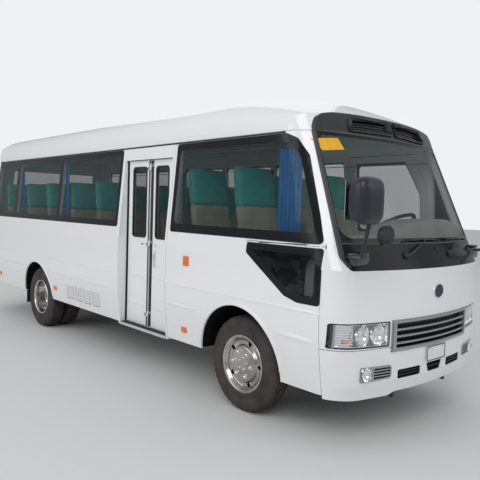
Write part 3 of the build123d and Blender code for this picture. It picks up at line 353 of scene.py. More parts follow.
# The record's material slot behind each material
SLOTS = {
    "white": "body_white", "gloss_black": "trim_black", "frit": "trim_black", "cowl": "trim_black",
    "louvre": "body_white",
    "mirror_shell": "black_plastic", "tint": "dark_glass",
    "clear": "clear_glass", "lens": "lens", "chrome": "chrome", "chrome_dark": "grille_grey",
    "reflector": "lamp_silver", "black": "black_plastic", "steel_black": "black_steel",
    "rubber": "rubber_black", "tyre": "tyre_black", "cast": "cast_grey", "alloy": "alloy_block",
    "floor": "floor_grey", "teal": "seat_cloth", "beige": "seat_cloth", "curtain": "curtain_blue",
    "dash": "dash_grey", "amber": "amber", "red": "red_lens", "plate": "plate_white",
    "emblem": "emblem_blue", "mirror": "mirror_face", "step": "step_metal", "lining": "dash_grey",
    "sticker": "amber", "trim_grey": "black_plastic", "vent_grey": "black_plastic",
    "wheel_cover": "chrome", "wheel_dish": "chrome", "liner": "black_plastic", "edging": "lens",
}


# ---------------------------------------------------------------- mesh tools
def finish_mesh(name, bm, mat, body, smooth=True, angle=35):
    me = bpy.data.meshes.new(name)
    bmesh.ops.recalc_face_normals(bm, faces=bm.faces)
    bm.to_mesh(me)
    bm.free()
    o = bpy.data.objects.new(name, me)
    bpy.context.scene.collection.objects.link(o)
    me.materials.append(MAT[mat])
    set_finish(o, SLOTS[mat])
    if smooth:
        for p in me.polygons:
            p.use_smooth = True
        me.set_sharp_from_angle(angle=math.radians(angle))
    if body:
        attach(o, body)
    return o


def rounded(points, r, n=5):
    """Closed outline with its corners rounded by r, or by a list of radii."""
    out = []
    count = len(points)
    radii = r if isinstance(r, (list, tuple)) else [r] * count
    for i in range(count):
        p0, p1, p2 = (Vector(points[(i + k) % count]) for k in (-1, 0, 1))
        rr = radii[i]
        a, b = (p0 - p1), (p2 - p1)
        if rr <= 0:
            out.append(tuple(p1))
            continue
        half = a.angle(b) / 2
        reach = min(rr / math.tan(half), a.length * 0.49, b.length * 0.49)
        rr = reach * math.tan(half)
        centre = p1 + (a.normalized() + b.normalized()).normalized() * (rr / math.sin(half))
        s, e = p1 + a.normalized() * reach, p1 + b.normalized() * reach
        v0, v1 = s - centre, e - centre
        total = v0.angle(v1)
        sign = 1 if v0.x * v1.y - v0.y * v1.x > 0 else -1
        for k in range(n + 1):
            t = sign * total * k / n
            c, sn = math.cos(t), math.sin(t)
            out.append((centre.x + v0.x * c - v0.y * sn, centre.y + v0.x * sn + v0.y * c))
    return out


def patch(name, loops, place, under, mat, body, grid=0.12, angle=35):
    """A sheet with the outline and holes of loops, laid on a curved surface.
    place and under map (u, v) to its upper and lower faces."""
    bm = bmesh.new()
    for loop in loops:
        vs = [bm.verts.new((u, v, 0)) for u, v in loop]
        for a, b in zip(vs, vs[1:] + vs[:1]):
            bm.edges.new((a, b))
    bmesh.ops.triangle_fill(bm, use_beauty=True, edges=bm.edges[:])
    lo = [min(p[k] for l in loops for p in l) for k in (0, 1)]
    hi = [max(p[k] for l in loops for p in l) for k in (0, 1)]
    for k in (0, 1):
        steps = int((hi[k] - lo[k]) / grid)
        for i in range(1, steps + 1):
            co = [0, 0, 0]
            no = [0, 0, 0]
            co[k] = lo[k] + (hi[k] - lo[k]) * i / (steps + 1)
            no[k] = 1
            bmesh.ops.bisect_plane(bm, geom=bm.verts[:] + bm.edges[:] + bm.faces[:], plane_co=co,
                                   plane_no=no, dist=1e-6)
    flat = {v: (v.co.x, v.co.y) for v in bm.verts}
    top = list(bm.faces)
    ret = bmesh.ops.extrude_face_region(bm, geom=top)
    new = [g for g in ret["geom"] if isinstance(g, bmesh.types.BMVert)]
    for v in new:
        v.co = under(v.co.x, v.co.y)
    newset = set(new)
    for v in bm.verts:
        if v not in newset:
            v.co = place(*flat[v])
    return finish_mesh(name, bm, mat, body, angle=angle)


def box_mesh(bm, lo, hi, bevel=0.0, segments=2):
    ret = bmesh.ops.create_cube(bm, size=1)
    vs = ret["verts"]
    for v in vs:
        v.co = Vector([lo[k] + (v.co[k] + 0.5) * (hi[k] - lo[k]) for k in range(3)])
    if bevel:
        edges = list({e for v in vs for e in v.link_edges})
        bmesh.ops.bevel(bm, geom=edges, offset=bevel, segments=segments, affect="EDGES",
                        profile=0.5)


def skin(bm, rows):
    """Joins neighbouring cross sections all the way round and closes both ends."""
    for r0, r1 in zip(rows, rows[1:]):
        for j in range(len(r0)):
            k = (j + 1) % len(r0)
            bm.faces.new((r0[j], r1[j], r1[k], r0[k]))
    bm.faces.new(rows[0])
    bm.faces.new(rows[-1])


def tube_mesh(bm, points, radius, sides=12, caps=True):
    """Round bar through the points, mitred at its bends."""
    pts = [Vector(p) for p in points]
    rings = []
    ref = Vector((0, 0, 1))
    for i, p in enumerate(pts):
        if i == 0:
            t = pts[1] - p
        elif i == len(pts) - 1:
            t = p - pts[i - 1]
        else:
            t = (pts[i + 1] - p).normalized() + (p - pts[i - 1]).normalized()
        t.normalize()
        if abs(t.dot(ref)) > 0.95:
            ref = Vector((1, 0, 0))
        a = t.cross(ref).normalized()
        b = t.cross(a).normalized()
        r = radius[i] if isinstance(radius, (list, tuple)) else radius
        rings.append([bm.verts.new(p + (a * math.cos(2 * math.pi * k / sides)
                                        + b * math.sin(2 * math.pi * k / sides)) * r)
                      for k in range(sides)])
    for r0, r1 in zip(rings, rings[1:]):
        for k in range(sides):
            bm.faces.new((r0[k], r0[(k + 1) % sides], r1[(k + 1) % sides], r1[k]))
    if caps:
        bm.faces.new(rings[0][::-1])
        bm.faces.new(rings[-1])


def lathe_mesh(bm, profile, centre, side, segments=64, axis="X"):
    """Turned surface; profile is (offset outboard, radius) along the axle."""
    rings = []
    for off, r in profile:
        if r < 1e-6:
            rings.append([bm.verts.new(lathe_point(off, 0, 0, centre, side, axis))])
        else:
            rings.append([bm.verts.new(lathe_point(off, r, 2 * math.pi * k / segments, centre, side,
                                                   axis))
                          for k in range(segments)])
    for r0, r1 in zip(rings, rings[1:]):
        for k in range(segments):
            k2 = (k + 1) % segments
            if len(r0) == 1 and len(r1) > 1:
                bm.faces.new((r0[0], r1[k2], r1[k]))
            elif len(r1) == 1 and len(r0) > 1:
                bm.faces.new((r0[k], r0[k2], r1[0]))
            elif len(r0) > 1:
                bm.faces.new((r0[k], r0[k2], r1[k2], r1[k]))
    return rings


def turned(name, mat, profile, centre, side, sides, axis="X", **how):
    """A turned piece of its own: the profile lathed about the axis through the centre."""
    bm = bmesh.new()
    lathe_mesh(bm, profile, centre, side, sides, axis)
    return finish_mesh(name, bm, mat, None, **how)


def lathe_point(off, r, ang, centre, side, axis):
    c, s = math.cos(ang) * r, math.sin(ang) * r
    if axis == "X":
        return Vector(centre) + Vector((side * off, c, s))
    return Vector(centre) + Vector((c, -off, s))


# ---------------------------------------------------------------- surfaces to lie on
TREES = {}


def tree(node):
    if node not in TREES:
        o = NODES[node]
        TREES[node] = BVHTree.FromPolygons([o.matrix_world @ v.co for v in o.data.vertices],
                                           [tuple(p.vertices) for p in o.data.polygons])
    return TREES[node]


def on_flank(side, lift, *nodes):
    """Maps (distance, height) to the outer surface of the nodes on that flank."""
    spare = flank(side, lift)

    def place(u, v):
        best = None
        for n in nodes:
            hit = tree(n).ray_cast(Vector((side * 3, at(u), v)), Vector((-side, 0, 0)))[0]
            if hit and (best is None or side * hit.x > side * best.x):
                best = hit
        if best is None:
            return spare(u, v)
        return best + Vector((side * lift, 0, 0))
    return place


def on_end(sign, lift, spare, *nodes):
    """Maps (x, height) to the outer surface of the nodes at the nose (sign -1) or the tail."""
    def place(u, v):
        best = None
        for n in nodes:
            hit = tree(n).ray_cast(Vector((u, sign * 6, v)), Vector((0, -sign, 0)))[0]
            if hit and (best is None or sign * hit.y > sign * best.y):
                best = hit
        if best is None:
            return spare(u, v)
        return best + Vector((0, sign * lift, 0))
    return place


def strip(name, path, width, place, under, mat, body, closed=False, grid=0.12):
    """A band of that width along a path of (u, v) points, laid by patch's rules."""
    pts = [Vector(p) for p in path]
    left, right = [], []
    count = len(pts)
    for i, p in enumerate(pts):
        if closed:
            a, b = pts[i - 1], pts[(i + 1) % count]
        else:
            a, b = pts[max(i - 1, 0)], pts[min(i + 1, count - 1)]
        t0 = (p - a).normalized() if (p - a).length > 1e-9 else (b - p).normalized()
        t1 = (b - p).normalized() if (b - p).length > 1e-9 else t0
        n = Vector((-(t0.y + t1.y), t0.x + t1.x)) / max(1 + t0.dot(t1), 0.3)
        left.append(tuple(p + n * width / 2))
        right.append(tuple(p - n * width / 2))
    if closed:
        return patch(name, [left, right[::-1]], place, under, mat, body, grid=grid)
    return patch(name, [left + right[::-1]], place, under, mat, body, grid=grid)


def shrink(points, margin):
    """Outline moved inward by the margin."""
    follow = points[1:] + points[:1]
    area = sum(a[0] * b[1] - b[0] * a[1] for a, b in zip(points, follow))
    reach = math.copysign(margin, area)
    ways = []
    for a, b in zip(points, follow):
        length = math.hypot(b[0] - a[0], b[1] - a[1])
        ways.append(((b[0] - a[0]) / length, (b[1] - a[1]) / length))
    out = []
    for p, a, b in zip(points, ways[-1:] + ways[:-1], ways):
        k = reach / (1 + a[0] * b[0] + a[1] * b[1])
        out.append((p[0] - (a[1] + b[1]) * k, p[1] + (a[0] + b[0]) * k))
    return out


def join_objects(name, objs, body):
    """Joins pieces into one object."""
    slot_name = objs[0]["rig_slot"]
    bm = bmesh.new()
    mats = []
    for o in objs:
        start = len(bm.faces)
        bm.from_mesh(o.data)
        bm.faces.ensure_lookup_table()
        for m in o.data.materials:
            if m not in mats:
                mats.append(m)
        index = mats.index(o.data.materials[0])
        for f in bm.faces[start:]:
            f.material_index = index
        bpy.data.objects.remove(o)
    me = bpy.data.meshes.new(name)
    bm.to_mesh(me)
    bm.free()
    for m in mats:
        me.materials.append(m)
    o = bpy.data.objects.new(name, me)
    bpy.context.scene.collection.objects.link(o)
    me.set_sharp_from_angle(angle=math.radians(35))
    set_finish(o, slot_name)
    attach(o, body)
    return o


# ---------------------------------------------------------------- camera, floor and light
def camera():
    yaw, pitch, roll = math.radians(42.048), math.radians(3.231), math.radians(1.863)
    d = Vector((math.sin(yaw) * math.cos(pitch), math.cos(yaw) * math.cos(pitch), -math.sin(pitch)))
    r = Vector((math.cos(yaw), -math.sin(yaw), 0))
    u = r.cross(d)
    right = r * math.cos(roll) + u * math.sin(roll)
    up = u * math.cos(roll) - r * math.sin(roll)
    rot = Matrix((right, up, -d)).transposed().to_4x4()
    cam = bpy.data.cameras.new("camera")
    cam.sensor_width = 36
    cam.lens = 36 * 563.075 / 480
    cam.clip_end = 200
    o = bpy.data.objects.new("camera", cam)
    bpy.context.scene.collection.objects.link(o)
    o.matrix_world = Matrix.Translation((-3.943, -5.532, 1.636)) @ rot
    bpy.context.scene.camera = o
    return o


def floor_and_world():
    m = bpy.data.materials.new("studio_floor")
    m.use_nodes = True
    nt = m.node_tree
    b = nt.nodes["Principled BSDF"]
    b.inputs["Base Color"].default_value = (0.74, 0.74, 0.74, 1)
    b.inputs["Roughness"].default_value = 0.85
    b.inputs["Specular IOR Level"].default_value = 0.1
    noise = nt.nodes.new("ShaderNodeTexNoise")
    noise.inputs["Scale"].default_value = 2.0
    bump = nt.nodes.new("ShaderNodeBump")
    bump.inputs["Strength"].default_value = 0.02
    nt.links.new(noise.outputs["Fac"], bump.inputs["Height"])
    nt.links.new(bump.outputs["Normal"], b.inputs["Normal"])
    me = bpy.data.meshes.new("studio_floor")
    me.from_pydata([(-60, -60, -0.001), (60, -60, -0.001), (60, 60, -0.001), (-60, 60, -0.001)], [],
                   [(0, 1, 2, 3)])
    o = bpy.data.objects.new("studio_floor", me)
    me.materials.append(m)
    bpy.context.scene.collection.objects.link(o)

    world = bpy.data.worlds.new("studio")
    bpy.context.scene.world = world
    world.use_nodes = True
    nt = world.node_tree
    bg = nt.nodes["Background"]
    tex = nt.nodes.new("ShaderNodeTexCoord")
    sep = nt.nodes.new("ShaderNodeSeparateXYZ")
    ramp = nt.nodes.new("ShaderNodeValToRGB")
    ramp.color_ramp.elements[0].position = 0.44
    ramp.color_ramp.elements[0].color = (0.40, 0.40, 0.41, 1)
    ramp.color_ramp.elements[1].position = 0.80
    ramp.color_ramp.elements[1].color = (0.95, 0.97, 1.0, 1)
    mid = ramp.color_ramp.elements.new(0.52)
    mid.color = (0.66, 0.68, 0.70, 1)
    mr = nt.nodes.new("ShaderNodeMapRange")
    mr.inputs["From Min"].default_value = -1
    mr.inputs["From Max"].default_value = 1
    nt.links.new(tex.outputs["Generated"], sep.inputs["Vector"])
    nt.links.new(sep.outputs["Z"], mr.inputs["Value"])
    nt.links.new(mr.outputs["Result"], ramp.inputs["Fac"])
    plain = nt.nodes.new("ShaderNodeBackground")
    plain.inputs["Color"].default_value = (0.87, 0.88, 0.89, 1)
    path = nt.nodes.new("ShaderNodeLightPath")
    mix = nt.nodes.new("ShaderNodeMixShader")
    nt.links.new(ramp.outputs["Color"], bg.inputs["Color"])
    bg.inputs["Strength"].default_value = 0.60
    nt.links.new(path.outputs["Is Camera Ray"], mix.inputs["Fac"])
    nt.links.new(bg.outputs["Background"], mix.inputs[1])
    nt.links.new(plain.outputs["Background"], mix.inputs[2])
    nt.links.new(mix.outputs["Shader"], nt.nodes["World Output"].inputs["Surface"])


def light(name, place, aim, size, power, color=(1, 1, 1)):
    data = bpy.data.lights.new(name, "AREA")
    data.shape = "RECTANGLE"
    data.size, data.size_y = size
    data.energy = power
    data.color = color
    o = bpy.data.objects.new(name, data)
    o.location = place
    o.rotation_euler = (Vector(aim) - Vector(place)).to_track_quat("-Z", "Y").to_euler()
    bpy.context.scene.collection.objects.link(o)
    return o


camera()
floor_and_world()
light("key", (-9, -9, 9), (0, -0.5, 1.2), (7, 7), 450, (1, 0.985, 0.96))
light("side", (-12, 3, 6), (0, 1, 1.2), (9, 6), 300)
light("nose", (6, -12, 6), (0, -2, 1.2), (7, 5), 110)
light("top", (0, 0, 12), (0, 0, 0), (8, 10), 35)
light("back", (8, 9, 8), (0, 1, 1.2), (9, 7), 90)

# ---------------------------------------------------------------- glazing of the flanks
FRONT_WIN = [(2.099, GLASS_LOW), (0.318, GLASS_LOW), (0.386, 1.607), (0.546, 2.030),
             (0.648, 2.155), (0.743, GLASS_TOP), (2.099, GLASS_TOP)]
QUARTER = [(1.062, 1.381), (1.062, 1.300), (0.640, 1.022), (0.512, 0.988), (0.306, 0.988),
           (0.312, 1.381)]
BAND_R = [(3.041, GLASS_LOW), (BAND_END, GLASS_LOW), (BAND_END, GLASS_TOP), (3.041, GLASS_TOP)]
LEFT_FRONT = [(0.636, GLASS_LOW), (0.318, GLASS_LOW), (0.386, 1.607), (0.546, 2.030),
              (0.636, 2.150)]
LEFT_QUARTER = [(0.636, 1.381), (0.636, 1.030), (0.512, 0.988), (0.306, 0.988), (0.312, 1.381)]
BAND_L = [(1.590, GLASS_LOW), (BAND_END, GLASS_LOW), (BAND_END, GLASS_TOP), (1.590, GLASS_TOP)]
DOOR_WIN = [(0.705, GLASS_LOW), (1.515, GLASS_LOW), (1.515, 2.165), (0.880, 2.165), (0.705, 1.830)]


def band_holes(lo, hi, posts, low=1.470, high=2.143, width=0.075):
    """Clear panes between the posts of one glazed band."""
    edges = [lo] + [e for p in posts for e in (p - width / 2, p + width / 2)] + [hi]
    return [rounded([(a, low), (b, low), (b, high), (a, high)], 0.045)
            for a, b in zip(edges[::2], edges[1::2])]


def glazing(side, node, windows, tag):
    lift = on_flank(side, 0.0009, node)
    sink = on_flank(side, 0.0002, node)
    parts = []
    for outline, holes in windows:
        ring = rounded(shrink(outline, 0.0046), 0.026)
        parts.append(patch("frit", [ring] + holes, lift, sink, "frit", None, grid=0.1))
    return join_objects("window_frit_" + tag, parts, "body")


front_hole = rounded([(2.052, 1.480), (0.400, 1.480), (0.440, 1.607), (0.610, 2.035),
                      (0.705, 2.115), (0.790, 2.135), (2.052, 2.135)],
[0.045, 0.03, 0.05, 0.05, 0.05, 0.05, 0.045])
quarter_hole = rounded(shrink(QUARTER, 0.055), 0.03)
glazing(-1, "windows_right", [(FRONT_WIN, [front_hole]), (QUARTER, [quarter_hole]),
                              (BAND_R, band_holes(3.100, 6.640, POSTS_RIGHT))], "right")
glazing(1, "windows_left", [(LEFT_FRONT, [rounded(shrink(LEFT_FRONT, 0.05), 0.03)]),
                            (LEFT_QUARTER, [rounded(shrink(LEFT_QUARTER, 0.05), 0.03)]),
                            (BAND_L, band_holes(1.650, 6.640, POSTS_LEFT))], "left")
o = glazing(1, "driver_door_glass", [(DOOR_WIN, [rounded(shrink(DOOR_WIN, 0.055), 0.04)])],
            "driver_door")
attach(o, "driver_door")


# rubber round each glazed group, in the gap between the panes and the panel
for side, tag, groups in ((-1, "right", (FRONT_WIN, QUARTER, BAND_R)),
                          (1, "left", (LEFT_FRONT, LEFT_QUARTER, BAND_L))):
    rubbers = []
    for g in groups:
        path = rounded(shrink(g, 0.0020), 0.028)
        flush = on_flank(side, 0.0088, "side_panel_" + tag)
        deep = on_flank(side, 0.0010, "side_panel_" + tag)
        rubbers.append(strip("rubber", path, 0.0034, flush, deep, "rubber", None, closed=True))
    join_objects("window_rubber_" + tag, rubbers, "body")

# ---------------------------------------------------------------- flank creases
CREASES = {
    -1: [((3.034, 0.771), (4.730, 0.781)), ((5.460, 0.787), (6.600, 0.797)),
         ((1.640, 0.759), (2.118, 0.756)), ((0.330, 0.733), (0.700, 0.742))],
    1: [((1.640, 0.759), (4.730, 0.781)), ((5.460, 0.787), (6.600, 0.797)),
        ((0.330, 0.733), (0.640, 0.741))],
}
UPPER = {-1: [((3.034, 0.941), (6.72, 0.941)), ((0.300, 0.940), (2.118, 0.941))],
         1: [((1.580, 0.941), (6.72, 0.941)), ((0.300, 0.940), (0.640, 0.941))]}


def crease(name, side, runs, width, proud, mat="white"):
    """Raised swage line: a low ridge that fades into the panel at its ends."""
    bm = bmesh.new()
    put = on_flank(side, 0.0, PANEL[side])
    for a, b in runs:
        n = max(int((b[0] - a[0]) / 0.05), 4)
        rows = []
        for i in range(n + 1):
            t = i / n
            u = a[0] + (b[0] - a[0]) * t
            z = a[1] + (b[1] - a[1]) * t
            k = min(1.0, t * n / 2.0, (1 - t) * n / 2.0)
            row = []
            for dz, h in ((width, -0.0012), (width / 6, proud * 0.8), (-width / 3, proud),
                          (-width / 2.4, -0.0012)):
                p = put(u, z + dz * (0.5 + 0.5 * k))
                out = h * (0.3 + 0.7 * k) if h > 0 else h
                row.append(bm.verts.new(p + Vector((side * out, 0, 0))))
            rows.append(row)
        skin(bm, rows)
    return finish_mesh(name, bm, mat, "body", angle=25)


for side, tag in ((-1, "right"), (1, "left")):
    crease("swage_lower_" + tag, side, CREASES[side], 0.022, 0.0085)
    crease("swage_upper_" + tag, side, UPPER[side], 0.014, 0.0045)


# ---------------------------------------------------------------- wheel arch lips
def arch_lip(side, d, r, tag):
    put = on_flank(side, 0.0, PANEL[side])
    bm = bmesh.new()
    rows = []
    a0, a1 = math.radians(5 if d < 3 else 8), math.radians(175 if d < 3 else 172)
    n = 56
    for i in range(n + 1):
        a = a0 + (a1 - a0) * i / n
        row = []
        for rr, h in ((0.028, -0.001), (0.022, 0.003), (0.010, 0.0052), (0.0, 0.0045),
                      (-0.003, 0.000), (-0.003, -0.030), (0.004, -0.030)):
            u, z = d + (r + rr) * math.cos(a), ARCH_Z + (r + rr) * math.sin(a)
            ub, zb = d + (r + 0.012) * math.cos(a), ARCH_Z + (r + 0.012) * math.sin(a)
            p = put(ub, max(zb, 0.43))
            half = level(z)[0] - level(zb)[0]
            row.append(bm.verts.new((p.x + side * (half + h), at(u), z)))
        rows.append(row)
    skin(bm, rows)
    finish_mesh("arch_lip_" + tag, bm, "white", "body", angle=40)


for side, tag in ((-1, "right"), (1, "left")):
    arch_lip(side, AXLE_F, ARCH_R["front"], "front_" + tag)
    arch_lip(side, AXLE_R, ARCH_R["rear"], "rear_" + tag)


# ---------------------------------------------------------------- louvres
def louvres():
    """Four columns of pressed louvre blades on the kerb side panel, with dark blue strips under them as
    painted shadow in their slots.
    """
    put = on_flank(-1, 0.0, "louvre_panel")
    blades, slots = bmesh.new(), bmesh.new()
    for c in range(4):
        d0 = 3.420 + c * 0.207
        for r in range(9):
            z = 0.512 + r * 0.0182
            rows, srow = [], []
            for i in range(9):
                u = d0 + 0.165 * i / 8 - r * 0.0015
                e = 1.0 if 0 < i < 8 else 0.0
                p0, p1 = put(u, z), put(u, z + 0.013)
                rows.append([blades.verts.new(p0 + Vector((-0.0002 - 0.008 * e, 0, 0.001))),
                             blades.verts.new(p0 + Vector((-0.0002 - 0.0065 * e, 0, -0.0006))),
                             blades.verts.new(p1 + Vector((0.0012, 0, 0.001))),
                             blades.verts.new(p1 + Vector((-0.0006, 0, 0.003)))])
                srow.append((slots.verts.new(p0 + Vector((-0.0012, 0, -0.0085))),
                             slots.verts.new(p0 + Vector((-0.0012, 0, 0.0015)))))
            skin(blades, rows)
            for a, b in zip(srow, srow[1:]):
                slots.faces.new((a[0], b[0], b[1], a[1]))
    finish_mesh("louvre_blades", blades, "white", "body", angle=30)
    # the dark blue strips under the blades are painted shadow of the slots
    o = finish_mesh("louvre_slot_shadows", slots, "louvre", "body", smooth=False)
    m = o.modifiers.new("thick", "SOLIDIFY")
    m.thickness = 0.0007


louvres()

# ---------------------------------------------------------------- windscreen, cowl and vents
def wind_x(z):
    if z < 2.245:
        return 0.928 - 0.0978 * (z - 1.325)
    return 0.838 - 0.4776 * (z - 2.245) if z < 2.312 else 0.806 - 1.842 * (z - 2.312)


def grow(points, side):
    """Outline with its X mirrored to that side, kept anticlockwise."""
    out = [(side * x, z) for x, z in points]
    return out if side > 0 else out[::-1]


def full(points):
    """Outline from its +X half, listed upwards, and its mirror image."""
    return points + [(-x, z) for x, z in reversed(points)]


screen_out = full([(wind_x(1.4215) - 0.004, 1.4215), (wind_x(2.213) - 0.004, 2.213)])
screen_in = rounded(full([(wind_x(1.455) - 0.032, 1.455), (wind_x(2.186) - 0.032, 2.186)]),
                    [0.075, 0.06, 0.06, 0.075], 8)
patch("windscreen_frit", [screen_out, screen_in], on_end(-1, 0.0010, front(0.001), "windscreen"),
      on_end(-1, 0.0002, front(0), "windscreen"), "frit", "body", grid=0.08)


def pillar_trim(side):
    """Rubber and trim strip between the glass and the white pillar."""
    bm = bmesh.new()
    rows = []
    n = 40
    for i in range(n + 1):
        z = 1.262 + (2.345 - 1.262) * i / n
        x = wind_x(z) if z > 1.325 else 0.890 + (z - 1.24) * 0.447
        k = min(1.0, i / 3, (n - i) / 3)
        row = []
        for dx, h in ((0.004, 0.0), (0.000, 0.0045), (-0.008, 0.0055), (-0.020, 0.0040),
                      (-0.026, 0.0003), (-0.026, -0.003), (0.004, -0.003)):
            base = front(0)(side * (x + dx), z)
            out = h * (0.25 + 0.75 * k) if h > 0 else h
            row.append(bm.verts.new(base + normal_front(side * x, z) * out))
        rows.append(row)
    skin(bm, rows)
    return finish_mesh("t", bm, "trim_grey", None, angle=30)


join_objects("pillar_trims", [pillar_trim(-1), pillar_trim(1)], "body")
# rubber between the glass, the cowl and the vent panel
rub = []
for z, w in ((1.4205, 0.012), (2.2155, 0.014)):
    path = [(-wind_x(z) + 0.03 + (2 * wind_x(z) - 0.06) * i / 40, z) for i in range(41)]
    rub.append(strip("r", path, w, on_end(-1, 0.0035, front(0.003), "windscreen", "cowl_panel",
                                          "roof_vent_panel"),
                     on_end(-1, -0.002, front(-0.003), "windscreen", "cowl_panel",
                            "roof_vent_panel"), "trim_grey", None))
join_objects("windscreen_seals", rub, "body")


def scoop(side):
    """One roof air intake: a proud rim, a hooded throat and two slats inside."""
    out = rounded([(side * x, z) for x, z in ((0.014, 2.246), (0.540, 2.234), (0.500, 2.350),
                                              (0.014, 2.366))], 0.028, 6)
    hole = rounded([(side * x, z) for x, z in ((0.050, 2.266), (0.498, 2.256), (0.472, 2.326),
                                               (0.050, 2.340))], 0.020, 6)
    lift = on_end(-1, 0.014, front(0), "roof_vent_panel")
    skin_ = on_end(-1, -0.001, front(0), "roof_vent_panel")
    if side < 0:
        out, hole = out[::-1], hole[::-1]
    rim = patch("rim", [out, hole], lift, skin_, "vent_grey", None, grid=0.05)
    inner = rounded([(side * x, z) for x, z in ((0.040, 2.264), (0.496, 2.254), (0.468, 2.330),
                                                (0.040, 2.343))], 0.012, 4)
    base = on_end(-1, 0.0, front(0), "roof_vent_panel")

    def deep(u, v):
        p = base(u, v)
        return Vector((p.x, p.y, p.z)) + Vector((0, -0.001, 0))
    floor_ = patch("floor", [inner if side > 0 else inner[::-1]], deep,
                   lambda u, v: deep(u, v) + Vector((0, 0.004, 0)), "frit", None, grid=0.06)
    slats = []
    for k in range(3):
        z0 = 2.275 + 0.020 * k
        path = [(side * (0.060 + 0.41 * i / 12), z0 - 0.010 * i / 12) for i in range(13)]
        slats.append(strip("s", path, 0.006, lambda u, v: lift(u, v) + Vector((0, 0.006, 0)), base,
                           "vent_grey", None))
    return [rim, floor_] + slats


join_objects("roof_scoops", scoop(-1) + scoop(1), "body")


def slender(points, radii, mat, name, sides=10):
    bm = bmesh.new()
    tube_mesh(bm, points, radii, sides=sides)
    return finish_mesh(name, bm, mat, None, angle=40)


def wiper(pivot_x, tip_x, tag):
    """Parked wiper: a cranked arm from its spindle to a long blade along the foot of the glass."""
    on = on_end(-1, 0, front(0), "windscreen", "cowl_panel")
    base = on(pivot_x, 1.335)
    mid_x = (pivot_x + tip_x) / 2
    heel = on(pivot_x + (tip_x - pivot_x) * 0.16, 1.372) + Vector((0, -0.030, 0))
    reach = on(mid_x, 1.437) + Vector((0, -0.024, 0))
    objs = []
    objs.append(turned("w", "black", [(-0.004, 0.026), (0.010, 0.026), (0.018, 0.022),
                                      (0.026, 0.012), (0.028, 0)],
                       base, 1, 24, "Y"))
    objs.append(slender([base + Vector((0, -0.020, 0)), heel, reach], [0.011, 0.008, 0.005],
                        "black", "w"))
    n = 26
    half = abs(tip_x - mid_x) * 0.98
    line = []
    for i in range(n + 1):
        x = mid_x - half + 2 * half * i / n
        z = 1.434 + 0.012 * (1 - ((i - n / 2) / (n / 2)) ** 2)
        line.append((x, z))
    blade, spine = bmesh.new(), []
    rows = []
    for x, z in line:
        p = on(x, z)
        rows.append([blade.verts.new(p + Vector((0, dy, dz))) for dy, dz in
                     ((-0.0015, -0.0015), (-0.0015, 0.0015), (-0.010, 0.004), (-0.013, 0.004),
                      (-0.013, -0.004), (-0.010, -0.004))])
        spine.append(p + Vector((0, -0.017, 0.0)))
    skin(blade, rows)
    objs.append(finish_mesh("w", blade, "rubber", None))
    objs.append(slender(spine[5:-5], 0.0042, "black", "w", 8))
    return join_objects("wiper_" + tag, objs, "body")


wiper(-0.36, 0.16, "right")
wiper(0.24, 0.76, "left")
# washer jets
jets = []
for x in (-0.28, 0.05, 0.46):
    bm = bmesh.new()
    p = on_end(-1, 0, front(0), "cowl_panel")(x, 1.385)
    lathe_mesh(bm, [(-0.003, 0.010), (0.006, 0.009), (0.011, 0.005), (0.012, 0)], p, 1, 16, "Y")
    jets.append(finish_mesh("j", bm, "black", None))
join_objects("washer_jets", jets, "body")


# ---------------------------------------------------------------- mirrors
def mirror_set(side):
    objs = []
    cx, cy, cz = side * 1.096, at(-0.120), 1.705
    bm = bmesh.new()
    # squarish shell, flat towards the glass
    nu, nv = 44, 22
    grid = []
    for j in range(nv + 1):
        b = -math.pi / 2 + math.pi * j / nv
        ring = []
        for i in range(nu):
            a = 2 * math.pi * i / nu
            ex = 0.46
            ca, sa = math.cos(a), math.sin(a)
            cb, sb = math.cos(b), math.sin(b)
            sx = math.copysign(abs(ca) ** ex, ca) * abs(cb) ** 0.5
            sz = math.copysign(abs(sa) ** ex, sa) * abs(cb) ** 0.5
            sy = math.copysign(abs(sb) ** 0.85, sb)
            y = sy * (0.050 if sy < 0 else 0.110)
            taper = 1 - 0.06 * (sy < 0) * abs(sy)
            ring.append(bm.verts.new((cx + sx * 0.1178 * taper, cy + y, cz + sz * 0.1448 * taper)))
        grid.append(ring)
    for r0, r1 in zip(grid, grid[1:]):
        for i in range(nu):
            k = (i + 1) % nu
            bm.faces.new((r0[i], r0[k], r1[k], r1[i]))
    bmesh.ops.remove_doubles(bm, verts=bm.verts, dist=1e-5)
    objs.append(finish_mesh("m", bm, "mirror_shell", None, angle=60))
    # ribs and rim round the glass
    objs.append(turned("m", "mirror_shell", [(0.0, 0.0), (0.0, 0.064), (-0.004, 0.0675),
                                             (-0.016, 0.068), (-0.036, 0.064), (-0.054, 0.052),
                                             (-0.066, 0.034), (-0.071, 0.016), (-0.072, 0.0)],
                       (side * 0.838, at(-0.095), 1.490), -1, 40, "Y", angle=50))
    return objs


def mirror_frame(side):
    on = on_end(-1, 0, front(0), "cowl_panel", "side_panel_right", "side_panel_left")
    foot = on(side * 0.800, 1.335)
    objs = []
    bm = bmesh.new()
    box_mesh(bm, (side * 0.800 - 0.085, foot.y - 0.034, 1.270),
             (side * 0.800 + 0.085, foot.y + 0.05, 1.365), 0.016, 3)
    objs.append(finish_mesh("a", bm, "gloss_black", None, angle=50))
    bm = bmesh.new()
    box_mesh(bm, (side * 0.800 - 0.050, foot.y - 0.040, 1.366),
             (side * 0.800 + 0.050, foot.y + 0.01, 1.384), 0.006, 2)
    objs.append(finish_mesh("a", bm, "black", None, angle=50))
    return objs


ms = []
for side in (-1, 1):
    ms += mirror_set(side)
o = join_objects("mirror_shells", ms, "body")
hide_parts("mirror_heads")
join_objects("mirror_feet", mirror_frame(-1) + mirror_frame(1), "body")
